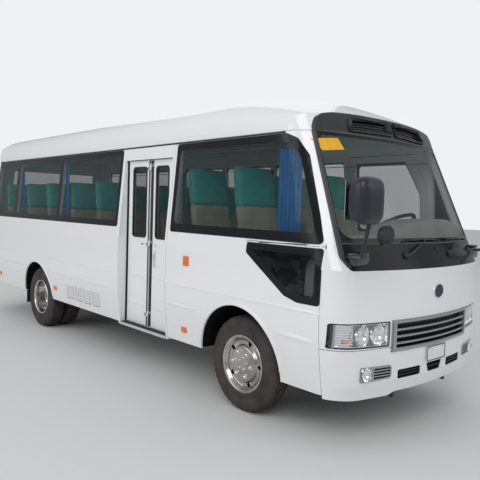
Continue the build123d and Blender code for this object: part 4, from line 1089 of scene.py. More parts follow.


# ---------------------------------------------------------------- nose: emblem ring, grille and headlamps
bm = bmesh.new()
n = 48
for rx, rz, y0, y1 in ((0.066, 0.054, 0.0, -0.0135),):
    ringpts = []
    c = front(0)(0, 1.065)
    for i in range(n):
        a = 2 * math.pi * i / n
        ca, sa = math.cos(a), math.sin(a)
        ringpts.append([bm.verts.new((c.x + rx * k * ca, at(0.006) + dy, 1.065 + rz * k * sa))
                        for k, dy in ((1.03, 0.003), (1.03, -0.0105), (1.0, -0.0125),
                                      (0.93, -0.0125), (0.905, -0.0115), (0.905, 0.003))])
    for i in range(n):
        a, b = ringpts[i], ringpts[(i + 1) % n]
        for j in range(6):
            k = (j + 1) % 6
            bm.faces.new((a[j], b[j], b[k], a[k]))
finish_mesh("emblem_ring", bm, "chrome", "body", angle=40)


def grille():
    """Chrome surround and three slats, each a blade with a rounded nose."""
    objs = []
    out = rounded(full([(0.5294, 0.6628), (0.5294, 0.8872)]), 0.016, 5)
    hole = rounded(full([(0.484, 0.690), (0.486, 0.864)]), 0.012, 5)
    objs.append(patch("g", [out, hole], front(0.008), front(-0.026), "chrome_dark", None,
                      grid=0.06))
    raised = rounded(full([(0.522, 0.670), (0.522, 0.881)]), 0.014, 5)
    hole2 = rounded(full([(0.496, 0.684), (0.497, 0.870)]), 0.012, 5)
    objs.append(patch("g", [raised, hole2], front(0.0125), front(0.0), "chrome_dark", None,
                      grid=0.06))
    for k in range(3):
        z0 = 0.7115 + 0.0480 * k
        bm = bmesh.new()
        rows = []
        m = 36
        for i in range(m + 1):
            x = -0.492 + 0.984 * i / m
            p = front(0)(x, z0)
            nrm = normal_front(x, 0.8)
            row = []
            for f, dz in ((0.004, 0.0025), (0.0050, 0.0080), (0.002, 0.0160), (-0.010, 0.0215),
                          (-0.026, 0.0235), (-0.027, 0.0205), (-0.010, 0.0030), (0.001, 0.0)):
                row.append(bm.verts.new(p + nrm * f + Vector((0, 0, dz))))
            rows.append(row)
        skin(bm, rows)
        objs.append(finish_mesh("g", bm, "chrome_dark", None, angle=40))
    back = full([(0.50, 0.678), (0.50, 0.880)])
    objs.append(patch("g", [back], front(-0.036), front(-0.040), "frit", None, grid=0.1))
    o = join_objects("grille_detail", objs, "body")
    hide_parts("grille")


grille()


def bowl(centre, radius, depth):
    """Round lamp reflector with a rim, a bulb cap and a faceted bowl, open towards the nose."""
    objs = []
    bm = bmesh.new()
    prof = [(0.004, radius + 0.006), (0.006, radius + 0.003), (0.004, radius)]
    for k in range(1, 9):
        t = k / 8
        prof.append((0.004 - depth * (1 - (1 - t) ** 2), radius * (1 - t) + 0.006 * t))
    lathe_mesh(bm, prof, centre, 1, 40, "Y")
    objs.append(finish_mesh("b", bm, "reflector", None, angle=30))
    objs.append(turned("b", "chrome", [(-depth, 0.015), (-depth + 0.02, 0.0145),
                                       (-depth + 0.03, 0.012), (-depth + 0.036, 0.007),
                                       (-depth + 0.038, 0.0)],
                       centre, 1, 20, "Y", angle=50))
    objs.append(turned("b", "chrome", [(0.002, radius + 0.004), (0.010, radius + 0.006),
                                       (0.013, radius + 0.0105), (0.010, radius + 0.014),
                                       (0.000, radius + 0.015)],
                       centre, 1, 44, "Y", angle=50))
    return objs


def headlamp(side):
    """Headlamp interior: two bowls, a ribbed indicator bay, a bright shelf and a dark end trim."""
    objs = []
    corners = [(0.5455, 0.7065), (0.9885, 0.7125), (0.9905, 0.8855), (0.5455, 0.8835)]
    outline = [(side * x, z) for x, z in corners]
    if side < 0:
        outline = outline[::-1]
    objs.append(patch("h", [rounded(shrink(outline, 0.004), 0.01)], front(-0.060), front(-0.064),
                      "reflector", None, grid=0.04))
    # walls between the lens and the back
    path = rounded(shrink(outline, 0.006), 0.012)
    wall = strip("h", path, 0.004, front(-0.012), front(-0.062), "chrome_dark", None, closed=True,
                 grid=0.05)
    objs.append(wall)
    for x, r in ((0.625, 0.060), (0.762, 0.060)):
        c = front(0)(side * x, 0.800)
        objs += bowl((side * x, c.y + 0.034, 0.788), r, 0.045)
    # ribbed indicator bay with an amber bulb
    for k in range(9):
        z0 = 0.724 + 0.0172 * k
        rib = [(side * (0.850 + 0.115 * i / 8), z0) for i in range(9)]
        objs.append(strip("h", rib, 0.007, front(-0.026), front(-0.060), "reflector", None,
                          grid=0.05))
    c = front(-0.035)(side * 0.905, 0.760)
    objs.append(turned("h", "amber", [(-0.004, 0.016), (0.014, 0.015), (0.022, 0.009),
                                      (0.024, 0.0)],
                       c, 1, 20, "Y", angle=50))
    # black border of the lens, and the dark and bright trims at its outer end
    over = on_end(-1, 0.0016, front(0.001), "headlamp_lenses")
    under = on_end(-1, 0.0002, front(0), "headlamp_lenses")
    objs.append(strip("h", rounded(shrink(outline, 0.0045), 0.010), 0.0075, over, under, "frit",
                      None, closed=True, grid=0.04))
    for lo, hi, mat in ((0.9700, 0.9855, "trim_grey"), (0.9600, 0.9685, "chrome_dark")):
        bar = grow([(lo, 0.7165), (hi, 0.7170), (hi, 0.8775), (lo, 0.8775)], side)
        objs.append(patch("h", [bar], over, under, mat, None, grid=0.03))
    return objs


lamps = headlamp(-1) + headlamp(1)
join_objects("headlamp_interiors", lamps, "body")
# ---------------------------------------------------------------- wheels and tyres
def ride_with(piece, node):
    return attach(piece, BODY_OF[node])


TYRE_SIDE = [(0.067, 0.2045), (0.078, 0.2120), (0.0870, 0.2300), (0.0915, 0.2480),
             (0.0930, 0.2500), (0.0930, 0.2540), (0.0922, 0.2560), (0.0938, 0.2850),
             (0.0938, 0.3050), (0.0948, 0.3070), (0.0948, 0.3130), (0.0936, 0.3150),
             (0.0922, 0.3380), (0.0890, 0.3520), (0.0850, 0.3620), (0.0800, 0.3710),
             (0.0740, 0.3775)]
TREAD = [(0.0700, 0.3805), (0.0560, 0.3845), (0.0530, 0.3848), (0.0515, 0.3770), (0.0455, 0.3770),
         (0.0440, 0.3858), (0.0200, 0.3870), (0.0185, 0.3790), (0.0115, 0.3790), (0.0100, 0.3873),
         (0.0000, 0.3874)]


def tyre_mesh(bm, centre, side, segments=168):
    """Carcass with rounded sidewalls, raised rings, shoulder lugs and three tread grooves."""
    half = TYRE_SIDE + TREAD
    profile = half + [(-o, r) for o, r in reversed(half[:-1])]
    rings = []
    for off, r in profile:
        ring_ = []
        for k in range(segments):
            a = 2 * math.pi * k / segments
            drop, shift = 0.0, 0.0
            lug = k % 4
            if abs(off) > 0.055 and r > 0.350 and lug == 0:
                drop = 0.0055 * min(1.0, (r - 0.350) / 0.015)
                shift = -0.003 if off > 0 else 0.003
            if 0.019 < abs(off) < 0.046 and r > 0.384 and (k + 2) % 4 == 0:
                drop = 0.0045
            c, s = math.cos(a) * (r - drop), math.sin(a) * (r - drop)
            ring_.append(bm.verts.new(Vector(centre) + Vector((side * (off + shift), c, s))))
        rings.append(ring_)
    for r0, r1 in zip(rings, rings[1:]):
        for k in range(segments):
            k2 = (k + 1) % segments
            bm.faces.new((r0[k], r0[k2], r1[k2], r1[k]))
    # closed bead between the two sides
    for k in range(segments):
        k2 = (k + 1) % segments
        bm.faces.new((rings[-1][k], rings[-1][k2], rings[0][k2], rings[0][k]))


def tyre_piece(name, spots, side):
    bm = bmesh.new()
    for x, d in spots:
        tyre_mesh(bm, (x, at(d), R_TYRE), side)
    return finish_mesh(name, bm, "tyre", None, angle=32)


def cut_holes(o, holes, centre, side, start, reach):
    """Cuts round holes through o along the axle; holes are (radius from the axle, angle, hole radius)."""
    bm = bmesh.new()
    for r, a, hr in holes:
        c = Vector(centre) + Vector((0, r * math.cos(a), r * math.sin(a)))
        lathe_mesh(bm, [(start, 0), (start, hr), (reach, hr), (reach, 0)], c, side, 28)
    bmesh.ops.recalc_face_normals(bm, faces=bm.faces)
    me = bpy.data.meshes.new("cutter")
    bm.to_mesh(me)
    bm.free()
    cutter = bpy.data.objects.new("cutter", me)
    bpy.context.scene.collection.objects.link(cutter)
    m = o.modifiers.new("holes", "BOOLEAN")
    m.object = cutter
    m.operation = "DIFFERENCE"
    m.solver = "EXACT"
    deps = bpy.context.evaluated_depsgraph_get()
    new = bpy.data.meshes.new_from_object(o.evaluated_get(deps))
    o.modifiers.clear()
    old = o.data
    o.data = new
    bpy.data.meshes.remove(old)
    bpy.data.objects.remove(cutter)
    o.data.set_sharp_from_angle(angle=math.radians(32))


def nuts(spots, centre, side, off, r=0.0155, mat="chrome"):
    """Capped lug nuts, each on its washer."""
    bm = bmesh.new()
    for radius, a in spots:
        c = Vector(centre) + Vector((0, radius * math.cos(a), radius * math.sin(a)))
        lathe_mesh(bm, [(off - 0.002, 0), (off - 0.002, r * 1.35), (off + 0.003, r * 1.3),
                        (off + 0.004, r), (off + 0.014, r * 0.96), (off + 0.021, r * 0.70),
                        (off + 0.0245, r * 0.35), (off + 0.025, 0)],
                   c, side, 20)
    return finish_mesh("n", bm, mat, None, angle=50)


def front_wheel(side, tag):
    centre = (side * 0.8325, at(AXLE_F), R_TYRE)
    bm = bmesh.new()
    lathe_mesh(bm, [(0.084, 0), (0.0845, 0.030), (0.0835, 0.060), (0.081, 0.128), (0.0785, 0.138),
                    (0.072, 0.145), (0.060, 0.150), (0.0535, 0.157), (0.052, 0.168),
                    (0.0535, 0.186), (0.061, 0.196), (0.074, 0.205), (0.083, 0.211),
                    (0.0885, 0.217), (0.0905, 0.225), (0.0895, 0.232), (0.0860, 0.2355),
                    (0.0840, 0.2330), (0.0780, 0.2260), (0.0700, 0.2100), (0.048, 0.196),
                    (0.044, 0.150), (0.050, 0.120), (0.070, 0.020), (0.070, 0)], centre, side, 120)
    face = finish_mesh("w", bm, "wheel_cover", None, angle=32)
    turns = [math.radians(108 - 72 * k) for k in range(5)]
    cut_holes(face, [(0.1725, a, 0.0205) for a in turns], centre, side, 0.02, 0.10)
    rims = bmesh.new()
    for a in turns:
        c = Vector(centre) + Vector((0, 0.1725 * math.cos(a), 0.1725 * math.sin(a)))
        lathe_mesh(rims, [(0.0505, 0.0205), (0.0545, 0.0208), (0.0560, 0.0225), (0.0545, 0.0245),
                          (0.0505, 0.0250)], c, side, 28)
    objs = [face, finish_mesh("w", rims, "chrome", None, angle=50)]
    objs.append(turned("w", "rubber", [(0.030, 0.10), (0.030, 0.198), (0.026, 0.198),
                                       (0.026, 0.10)],
                       centre, side, 60))
    objs.append(nuts([(0.104, math.radians(65 + 60 * k)) for k in range(6)], centre, side, 0.0815))
    objs.append(nuts([(0.046, math.radians(25 + 72 * k)) for k in range(5)], centre, side, 0.0825,
                     0.0065))
    objs.append(turned("w", "steel_black", [(-0.084, 0.2215), (-0.080, 0.2215), (-0.073, 0.2030),
                                            (0.060, 0.2030), (0.060, 0.1900), (-0.084, 0.1900),
                                            (-0.084, 0.2215)],
                       centre, side, 80, angle=35))
    objs.append(turned("w", "cast", [(-0.036, 0.026), (-0.036, 0.062), (0.045, 0.062),
                                     (0.045, 0.026)],
                       centre, side, 40, angle=35))
    o = join_objects("wheel_cover_" + tag, objs, "body")
    ride_with(o, "wheel_front_" + tag)
    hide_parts("wheel_front_" + tag)
    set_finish(o, "chrome")
    t = tyre_piece("tyre_tread_front_" + tag, [(side * 0.8325, AXLE_F)], side)
    ride_with(t, "tyre_front_" + tag)
    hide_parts("tyre_front_" + tag)


def rear_wheel(side, tag):
    outer_c = (side * 0.8525, at(AXLE_R), R_TYRE)
    inner_c = (side * 0.6325, at(AXLE_R), R_TYRE)
    objs = []
    bm = bmesh.new()
    lathe_mesh(bm, [(0.0840, 0.2215), (0.0870, 0.2180), (0.0875, 0.2120), (0.0840, 0.2070),
                    (0.0740, 0.2030), (0.0300, 0.1990), (-0.0300, 0.1960), (-0.0600, 0.1930),
                    (-0.0690, 0.1860), (-0.0700, 0.1780), (-0.0735, 0.1700), (-0.0850, 0.1350),
                    (-0.0870, 0.1250), (-0.0840, 0.1180), (-0.0800, 0.0700), (-0.0760, 0.0640),
                    (-0.0780, 0.0600), (-0.0960, 0.0600), (-0.0960, 0.1200), (-0.0840, 0.1800),
                    (-0.0780, 0.2010), (0.0700, 0.2060), (0.0780, 0.2200), (0.0840, 0.2215)],
                    outer_c, side, 120)
    dish = finish_mesh("w", bm, "wheel_dish", None, angle=32)
    turns = [math.radians(90 + 72 * k) for k in range(5)]
    cut_holes(dish, [(0.1525, a, 0.0185) for a in turns], outer_c, side, -0.13, -0.05)
    objs.append(dish)
    objs.append(turned("w", "rubber", [(-0.110, 0.11), (-0.110, 0.190), (-0.106, 0.190),
                                       (-0.106, 0.11)],
                       outer_c, side, 60))
    objs.append(nuts([(0.096, math.radians(60 * k)) for k in range(6)], outer_c, side, -0.0825,
                     0.0135))
    objs.append(turned("w", "alloy", [(-0.264, 0.031), (-0.264, 0.0600), (-0.030, 0.0580),
                                      (-0.012, 0.0560), (-0.006, 0.0520), (-0.005, 0.0440),
                                      (0.006, 0.0410), (0.0105, 0.0330), (0.0118, 0.0180),
                                      (0.0120, 0)],
                       outer_c, side, 48, angle=35))
    objs.append(nuts([(0.0485, math.radians(20 + 45 * k)) for k in range(8)], outer_c, side,
                     -0.0055, 0.0036, "steel_black"))
    objs.append(turned("w", "steel_black", [(-0.084, 0.2215), (-0.078, 0.2200), (-0.070, 0.2060),
                                            (0.078, 0.2060), (0.084, 0.2215), (0.087, 0.2120),
                                            (0.083, 0.1960), (0.110, 0.170), (0.118, 0.060),
                                            (0.104, 0.060), (0.094, 0.170), (0.070, 0.190),
                                            (-0.084, 0.190), (-0.084, 0.2215)],
                       inner_c, side, 80, angle=35))
    o = join_objects("wheel_dish_" + tag, objs, "body")
    ride_with(o, "wheels_rear_" + tag)
    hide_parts("wheels_rear_" + tag)
    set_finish(o, "chrome")
    t = tyre_piece("tyre_tread_rear_" + tag, [(side * 0.8525, AXLE_R), (side * 0.6325, AXLE_R)],
                   side)
    ride_with(t, "tyres_rear_" + tag)
    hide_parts("tyres_rear_" + tag)


for side, tag in ((-1, "right"), (1, "left")):
    front_wheel(side, tag)
    rear_wheel(side, tag)


# ---------------------------------------------------------------- wheel arch liners, near-black as painted shade
def arch_liner_painted_shade(side, d, r, tag):
    """Half-round liner inside a wheel arch, with its inner wall, near-black as painted shade inside the
    arch.
    """
    bm = bmesh.new()
    rows = []
    for i in range(49):
        a = math.radians(4 + 172 * i / 48)
        u, z = d + (r - 0.0035) * math.cos(a), ARCH_Z + (r - 0.0035) * math.sin(a)
        half = level(max(z, ARCH_Z))[0]
        rows.append([(x, u, z, a) for x in (0.4985, 0.62, 0.76, 0.86, half - 0.012)])
    verts = [[bm.verts.new((side * x, at(u), z)) for x, u, z, _ in row] for row in rows]
    for r0, r1 in zip(verts, verts[1:]):
        for j in range(4):
            bm.faces.new((r0[j], r1[j], r1[j + 1], r0[j + 1]))
    wall = [v[0] for v in verts if v[0].co.z > 0.485]
    bm.faces.new(wall)
    o = finish_mesh("arch_liner_painted_shade_" + tag, bm, "liner", "body", angle=40)
    m = o.modifiers.new("thick", "SOLIDIFY")
    m.thickness = 0.0022
    m.offset = -1
    return o


for side, tag in ((-1, "right"), (1, "left")):
    arch_liner_painted_shade(side, AXLE_F, ARCH_R["front"], "front_" + tag)
    arch_liner_painted_shade(side, AXLE_R, ARCH_R["rear"], "rear_" + tag)
# ---------------------------------------------------------------- seats
# Foot and head of a seat on the raised front platform and on the floor behind it
ON_PLATFORM, ON_FLOOR = (0.927, 1.985), (0.800, 1.890)
PLATFORM_END = 2.0
SEAT_ROWS = (3.700, 4.380, 5.060, 5.740)


def seat_at(x, d):
    return (x, d) + (ON_PLATFORM if d < PLATFORM_END else ON_FLOOR)


SEATS = [seat_at(-0.858, d) for d in (1.300, 1.930) + SEAT_ROWS]
SEATS += [seat_at(x, d) for d in (1.930, 3.020) + SEAT_ROWS for x in (0.003, 0.433)]
SEATS += [seat_at(x, 6.500) for x in (-0.858, -0.427, 0.003, 0.433)]


def loft(bm, sections, sides=36, power=0.36, index=0):
    """Stuffed form through sections of (centre, half width along X, half depth vector)."""
    rings = []
    for centre, half_w, depth in sections:
        ring_ = []
        for k in range(sides):
            a = 2 * math.pi * k / sides
            c, s = math.cos(a), math.sin(a)
            x = math.copysign(abs(c) ** power, c)
            y = math.copysign(abs(s) ** (power * 1.25), s)
            crown = 1 + 0.10 * (1 - abs(x) ** 2.5) * abs(y)
            bulge = Vector(depth) * (y * crown / 1.10)
            ring_.append(bm.verts.new(Vector(centre) + Vector((half_w * x, 0, 0)) + bulge))
        rings.append(ring_)
    for r0, r1 in zip(rings, rings[1:]):
        for k in range(sides):
            k2 = (k + 1) % sides
            bm.faces.new((r0[k], r0[k2], r1[k2], r1[k])).material_index = index
    for ring_, flip in ((rings[0], 1), (rings[-1], 0)):
        mid = bm.verts.new(sum((v.co for v in ring_), Vector()) / sides)
        for k in range(sides):
            k2 = (k + 1) % sides
            tri = (ring_[k], mid, ring_[k2]) if flip else (ring_[k], ring_[k2], mid)
            bm.faces.new(tri).material_index = index
    return rings


def back_line(front, base, top, z):
    """Middle line of a seat back at height z: (distance, half depth)."""
    cushion = base + 0.430
    low, high = cushion - 0.085, top - 0.200
    rise = min(max((z - low) / (high - low), 0), 1)
    near = front - 0.092 + 0.094 * rise ** 0.9
    far = front + 0.022 + 0.108 * rise
    if z > high:
        t = (z - high) / 0.195
        near = front + 0.002 + 0.062 * t ** 1.5
        far = front + 0.130 + 0.008 * t
    return (near + far) / 2, (far - near) / 2


def seat_sections(x, front, base, top, z0, z1, steps, width):
    rows = []
    for i in range(steps + 1):
        t = i / steps
        z = z0 + (z1 - z0) * t
        d, half = back_line(front, base, top, z)
        end = min(t, 1 - t) * (z1 - z0)
        ease = math.sqrt(max(1 - (1 - min(end / 0.028, 1)) ** 2, 0.02))
        rows.append(((x, at(d), z), (width - 0.016 * (1 - ease)) * (1 - 0.03 * max(0,
                                                            t - 0.8) * 5 * (z1 > top - 0.02)),
                     (0, half * (0.62 + 0.38 * ease), 0)))
    return rows


def groove_grid(rows, count, depth):
    """Pulls sections in at sewn channels across the pad."""
    out = []
    for i, (c, w, v) in enumerate(rows):
        t = i / (len(rows) - 1)
        k = min(abs(t - j / (count + 1)) for j in range(1, count + 1)) * (count + 1)
        pull = depth * max(0, 1 - k * 3.2) if 0.06 < t < 0.94 else 0
        out.append((c, w, tuple(Vector(v) * (1 - pull / max(Vector(v).length, 1e-6)))))
    return out


def seat_cushion_sections(x, front, base):
    cushion = base + 0.430
    rows = []
    n = 26
    for i in range(n + 1):
        t = i / n
        d = front - 0.498 + 0.436 * t
        end = min(t, 1 - t) * 0.436
        ease = math.sqrt(max(1 - (1 - min(end / 0.035, 1)) ** 2, 0.02))
        dip = 0.006 * math.sin(math.pi * t)
        half = 0.052 * (0.55 + 0.45 * ease)
        rows.append(((x, at(d), cushion - 0.0555 - dip * 0.5), 0.2085 - 0.016 * (1 - ease),
                     (0, 0, half - dip * 0.5)))
    return rows


def seat_set(seats, suffix, body="body"):
    heads, backs, cushions = bmesh.new(), bmesh.new(), bmesh.new()
    trims = bmesh.new()
    for x0, front, base, top in seats:
        x = x0 + 0.2125
        split = top - 0.330
        low = base + 0.430 - 0.075
        loft(backs, groove_grid(seat_sections(x, front, base, top, low, split, 34, 0.2085), 3,
                                0.006))
        loft(heads, groove_grid(seat_sections(x, front, base, top, split + 0.001, top - 0.004, 24,
                                              0.2065), 1, 0.003))
        loft(cushions, groove_grid(seat_cushion_sections(x, front, base), 3, 0.005))
        # clear plastic edging round the head, as a thin bead
        for sx in (-1, 1):
            path = []
            for i in range(9):
                z = split - 0.02 + (top - 0.035 - split) * i / 8
                d, half = back_line(front, base, top, z)
                path.append((x + sx * 0.2082, at(d - half * 0.35), z))
            tube_mesh(trims, path, 0.0035, sides=6)
    made = []
    for bm, name, mat in ((heads, "seat_heads", "teal"), (backs, "seat_backs", "beige"),
                          (cushions, "seat_cushions", "beige")):
        o = finish_mesh(name + suffix, bm, mat, body, angle=60)
        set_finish(o, "seat_cloth")
        made.append(o)
    o = finish_mesh("seat_edging" + suffix, trims, "edging", body, angle=60)
    return made


for o in seat_set(SEATS, ""):
    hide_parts("passenger_seats")
for o in seat_set([(0.2375, 1.350, 0.927, 1.985)], "_driver"):
    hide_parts("driver_seat")
# pedestal of the driver's seat
bm = bmesh.new()
box_mesh(bm, (0.300, at(0.905), 0.9275), (0.600, at(1.250), 1.246), 0.012, 3)
finish_mesh("driver_seat_pedestal", bm, "black", "body", angle=40)


# ---------------------------------------------------------------- curtains
def curtain(side, d0, width, index):
    """Pleated curtain bunched on its rail: a thin sheet whose folds deepen towards the hem."""
    z_top, z_low = 2.098, 1.444
    folds = max(3, round(width / 0.040))
    nu, nv = folds * 10, 22
    bm = bmesh.new()
    rows = []
    for j in range(nv + 1):
        t = j / nv
        z = z_top + (z_low - z_top) * t
        row = []
        for i in range(nu + 1):
            s = i / nu
            a = 2 * math.pi * folds * s
            amp = 0.0095 * (0.65 + 0.35 * t) * (1 + 0.12 * math.sin(3.1 * folds * s + index))
            sway = 0.004 * math.sin(a * 0.5 + index) * t
            x = 0.8755 + amp * math.sin(a) + 0.25 * amp * math.sin(2 * a + 0.7)
            row.append(bm.verts.new((side * x, at(d0 + 0.006 + (width - 0.012) * s + sway * 0.6),
                                     z)))
        rows.append(row)
    for r0, r1 in zip(rows, rows[1:]):
        for i in range(nu):
            bm.faces.new((r0[i], r0[i + 1], r1[i + 1], r1[i]))
    o = finish_mesh("curtain_%d" % index, bm, "curtain", "body", angle=80)
    m = o.modifiers.new("cloth", "SOLIDIFY")
    m.thickness = 0.0012
    m.offset = 0
    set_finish(o, "curtain_blue")
    return o


CURTAINS = ((-1, 0.620, 0.250), (-1, 4.420, 0.120), (-1, 5.830, 0.120), (-1, 3.080, 0.110),
            (1, 2.640, 0.120), (1, 3.540, 0.120), (1, 4.420, 0.120), (1, 5.830, 0.120))
rails = bmesh.new()
for side in (-1, 1):
    tube_mesh(rails, [(side * 0.8755, at(0.600), 2.106), (side * 0.8755, at(6.640), 2.106)], 0.0045,
              sides=10)
finish_mesh("curtain_rails", rails, "chrome_dark", "body", angle=50)
for i, (side, d0, width) in enumerate(CURTAINS):
    o = curtain(side, d0, width, i)
    if i == 0:
        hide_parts("curtains")
# ---------------------------------------------------------------- bumper: intakes, fog lamps, plate
def intake(points, bars):
    """Dark well behind an opening of the bumper, with bars across it."""
    objs = [patch("i", [points], front(-0.034), front(-0.038), "frit", None, grid=0.06)]
    lo, hi = min(z for _, z in points), max(z for _, z in points)
    x0, x1 = min(x for x, _ in points), max(x for x, _ in points)
    objs.append(strip("i", rounded(points, 0.012), 0.006, front(-0.006), front(-0.036), "black",
                      None, closed=True, grid=0.06))
    for k in range(bars):
        z = lo + (hi - lo) * (k + 1) / (bars + 1)
        n = 20
        path = [(x0 + 0.002 + (x1 - x0 - 0.004) * i / n, z) for i in range(n + 1)]
        objs.append(strip("i", path, 0.007, front(-0.010), front(-0.034), "black", None, grid=0.06))
    return objs


wells = []
for side in (-1, 1):
    wells += intake(grow([(0.185, 0.460), (0.445, 0.460), (0.445, 0.526), (0.185, 0.526)], side), 2)
wells += intake([(-0.085, 0.460), (0.085, 0.460), (0.112, 0.530), (-0.112, 0.530)], 1)
join_objects("bumper_intakes", wells, "body")


def fog_lamp(side):
    """Bezel with a round lamp in a chrome ring outboard and three bright slats inboard."""
    out = grow([(0.5155, 0.4805), (0.7945, 0.4725), (0.7945, 0.5775), (0.5155, 0.5715)], side)
    shut = grow([(0.527, 0.492), (0.678, 0.488), (0.678, 0.563), (0.527, 0.560)], side)
    cx, cz = 0.7405, 0.5250
    circle = [(side * (cx + 0.0485 * math.cos(2 * math.pi * k / 40)),
               cz + 0.0485 * math.sin(2 * math.pi * k / 40)) for k in range(40)]
    objs = [patch("f", [rounded(out, 0.020), circle, rounded(shut, 0.010)], front(0.0065),
                  front(-0.020), "chrome_dark", None, grid=0.05)]
    objs.append(patch("f", [rounded(shrink(out, 0.004), 0.014)], front(-0.038), front(-0.042),
                      "frit", None, grid=0.05))
    for k in range(3):
        z = 0.5050 + 0.0200 * k
        path = [(side * (0.528 + 0.149 * i / 8), z) for i in range(9)]
        objs.append(strip("f", path, 0.0085, front(0.0045), front(-0.012), "chrome_dark", None,
                          grid=0.05))
    c = front(0)(side * cx, cz)
    objs.append(turned("f", "chrome", [(-0.018, 0.0480), (0.0020, 0.0495), (0.0105, 0.0520),
                                       (0.0120, 0.0500), (0.0110, 0.0455), (0.0020, 0.0425),
                                       (-0.018, 0.0420), (-0.018, 0.0480)],
                       c, 1, 44, "Y", angle=50))
    objs.append(turned("f", "reflector", [(-0.006, 0.0428), (-0.024, 0.032), (-0.032, 0.018),
                                          (-0.034, 0.010), (-0.020, 0.008), (-0.012, 0.007),
                                          (-0.010, 0)],
                       c, 1, 36, "Y", angle=40))
    objs.append(turned("f", "lens", [(-0.004, 0.0428), (0.0015, 0.036), (0.0050, 0.022),
                                     (0.0062, 0)],
                       c, 1, 36, "Y", angle=50))
    return objs


o = join_objects("fog_lamp_units", fog_lamp(-1) + fog_lamp(1), "body")
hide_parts("fog_lamps")

# number plate frames with their bolts, on blank plates
frames = []
for y, z0, z1, w, sign in ((at(-0.008), 0.545, 0.655, 0.130, -1),
                           (at(6.954), 0.470, 0.600, 0.168, 1)):
    bm = bmesh.new()
    for lo, hi in (((-w, z0), (w, z0 + 0.006)), ((-w, z1 - 0.006), (w, z1)),
                   ((-w, z0), (-w + 0.006, z1)), ((w - 0.006, z0), (w, z1))):
        box_mesh(bm, (lo[0], min(y, y + sign * 0.003), lo[1]),
                 (hi[0], max(y, y + sign * 0.003), hi[1]), 0.0008, 1)
    frames.append(finish_mesh("p", bm, "black", None, angle=40))
    bm = bmesh.new()
    for x in (-0.09, 0.09):
        lathe_mesh(bm, [(0, 0.007), (0.002, 0.0065), (0.0035, 0.004), (0.004, 0)],
                   (x, y, z1 - 0.018), -sign, 14, "Y")
    frames.append(finish_mesh("p", bm, "chrome", None, angle=50))
join_objects("plate_frames", frames, "body")


# ---------------------------------------------------------------- strips at the window sills
parts = []
sill_strip = [(0.300, 1.3775), (1.066, 1.3775), (1.066, 1.4085), (0.306, 1.4085)]
strip_top = on_flank(-1, 0.0018, "side_panel_right", "windows_right")
strip_foot = on_flank(-1, 0.0003, "side_panel_right", "windows_right")
parts.append(patch("k", [sill_strip], strip_top, strip_foot, "frit", None, grid=0.08))
parts.append(patch("k", [[(0.304, 1.391), (1.062, 1.391), (1.062, 1.3945), (0.304, 1.3945)]],
                   on_flank(-1, 0.0034, "side_panel_right"),
                   on_flank(-1, 0.001, "side_panel_right"), "trim_grey", None, grid=0.08))
left = [(0.300, 1.3775), (0.640, 1.3775), (0.640, 1.4085), (0.306, 1.4085)]
parts.append(patch("k", [left], on_flank(1, 0.0018, "side_panel_left", "windows_left"),
                   on_flank(1, 0.0003, "side_panel_left", "windows_left"), "frit", None, grid=0.08))
join_objects("window_sill_strips", parts, "body")


# ---------------------------------------------------------------- folding door trims
def leaf(lift):
    return lambda u, v: Vector((-0.912 - lift, at(u), v))


def door_trim(d0, d1, window, body, tag, inner_edge, outer_edge, slots):
    objs = []
    w0, w1 = window
    ring_out = rounded([(w0 - 0.010, 1.312), (w1 + 0.010, 1.312), (w1 + 0.010, 2.016),
                        (w0 - 0.010, 2.016)], 0.040, 8)
    ring_in = rounded([(w0 + 0.009, 1.331), (w1 - 0.009, 1.331), (w1 - 0.009, 1.997),
                       (w0 + 0.009, 1.997)], 0.034, 8)
    objs.append(patch("d", [ring_out, ring_in], leaf(0.0028), leaf(-0.010), "rubber", None,
                      grid=0.3))
    for lo, hi, lift in (inner_edge, outer_edge):
        bm = bmesh.new()
        box_mesh(bm, (-0.912 - lift, at(lo), 0.446), (-0.886, at(hi), 2.070), 0.0012, 2)
        objs.append(finish_mesh("d", bm, "rubber", None, angle=40))
    # pressed lines of the lower panel
    a, b = d0 + 0.045, d1 - 0.045
    for z in (0.930, 0.640):
        bm = bmesh.new()
        n = 16
        rows = []
        for i in range(n + 1):
            u = a + (b - a) * i / n
            k = min(1, i / 2, (n - i) / 2)
            rows.append([bm.verts.new(leaf(h * k - 0.0006)(u, z + dz))
                         for dz, h in ((0.014, 0), (0.004, 0.0058), (-0.004, 0.0062), (-0.007, 0))])
        skin(bm, rows)
        objs.append(finish_mesh("d", bm, "white", None, angle=30))
    for u, z, w, h in slots:
        objs.append(patch("d", [rounded([(u - w, z - h), (u + w, z - h), (u + w, z + h),
                                         (u - w, z + h)], 0.004, 4)],
                          leaf(0.0016), leaf(-0.002), "black", None, grid=0.3))
    o = join_objects("door_trim_" + tag, objs, "body")
    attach(o, body)
    return o


front_leaf = BODY_OF["door_leaf_front"]
rear_leaf = BODY_OF["door_leaf_rear"]
door_trim(2.158, 2.554, (2.256, 2.462), front_leaf, "front", (2.5080, 2.5530, 0.0014),
          (2.1582, 2.1720, 0.0025), ())
door_trim(2.574, 2.970, (2.632, 2.876), rear_leaf, "rear", (2.5750, 2.5955, 0.0014),
          (2.9560, 2.9698, 0.0025),
          ((2.690, 1.250, 0.020, 0.006),))

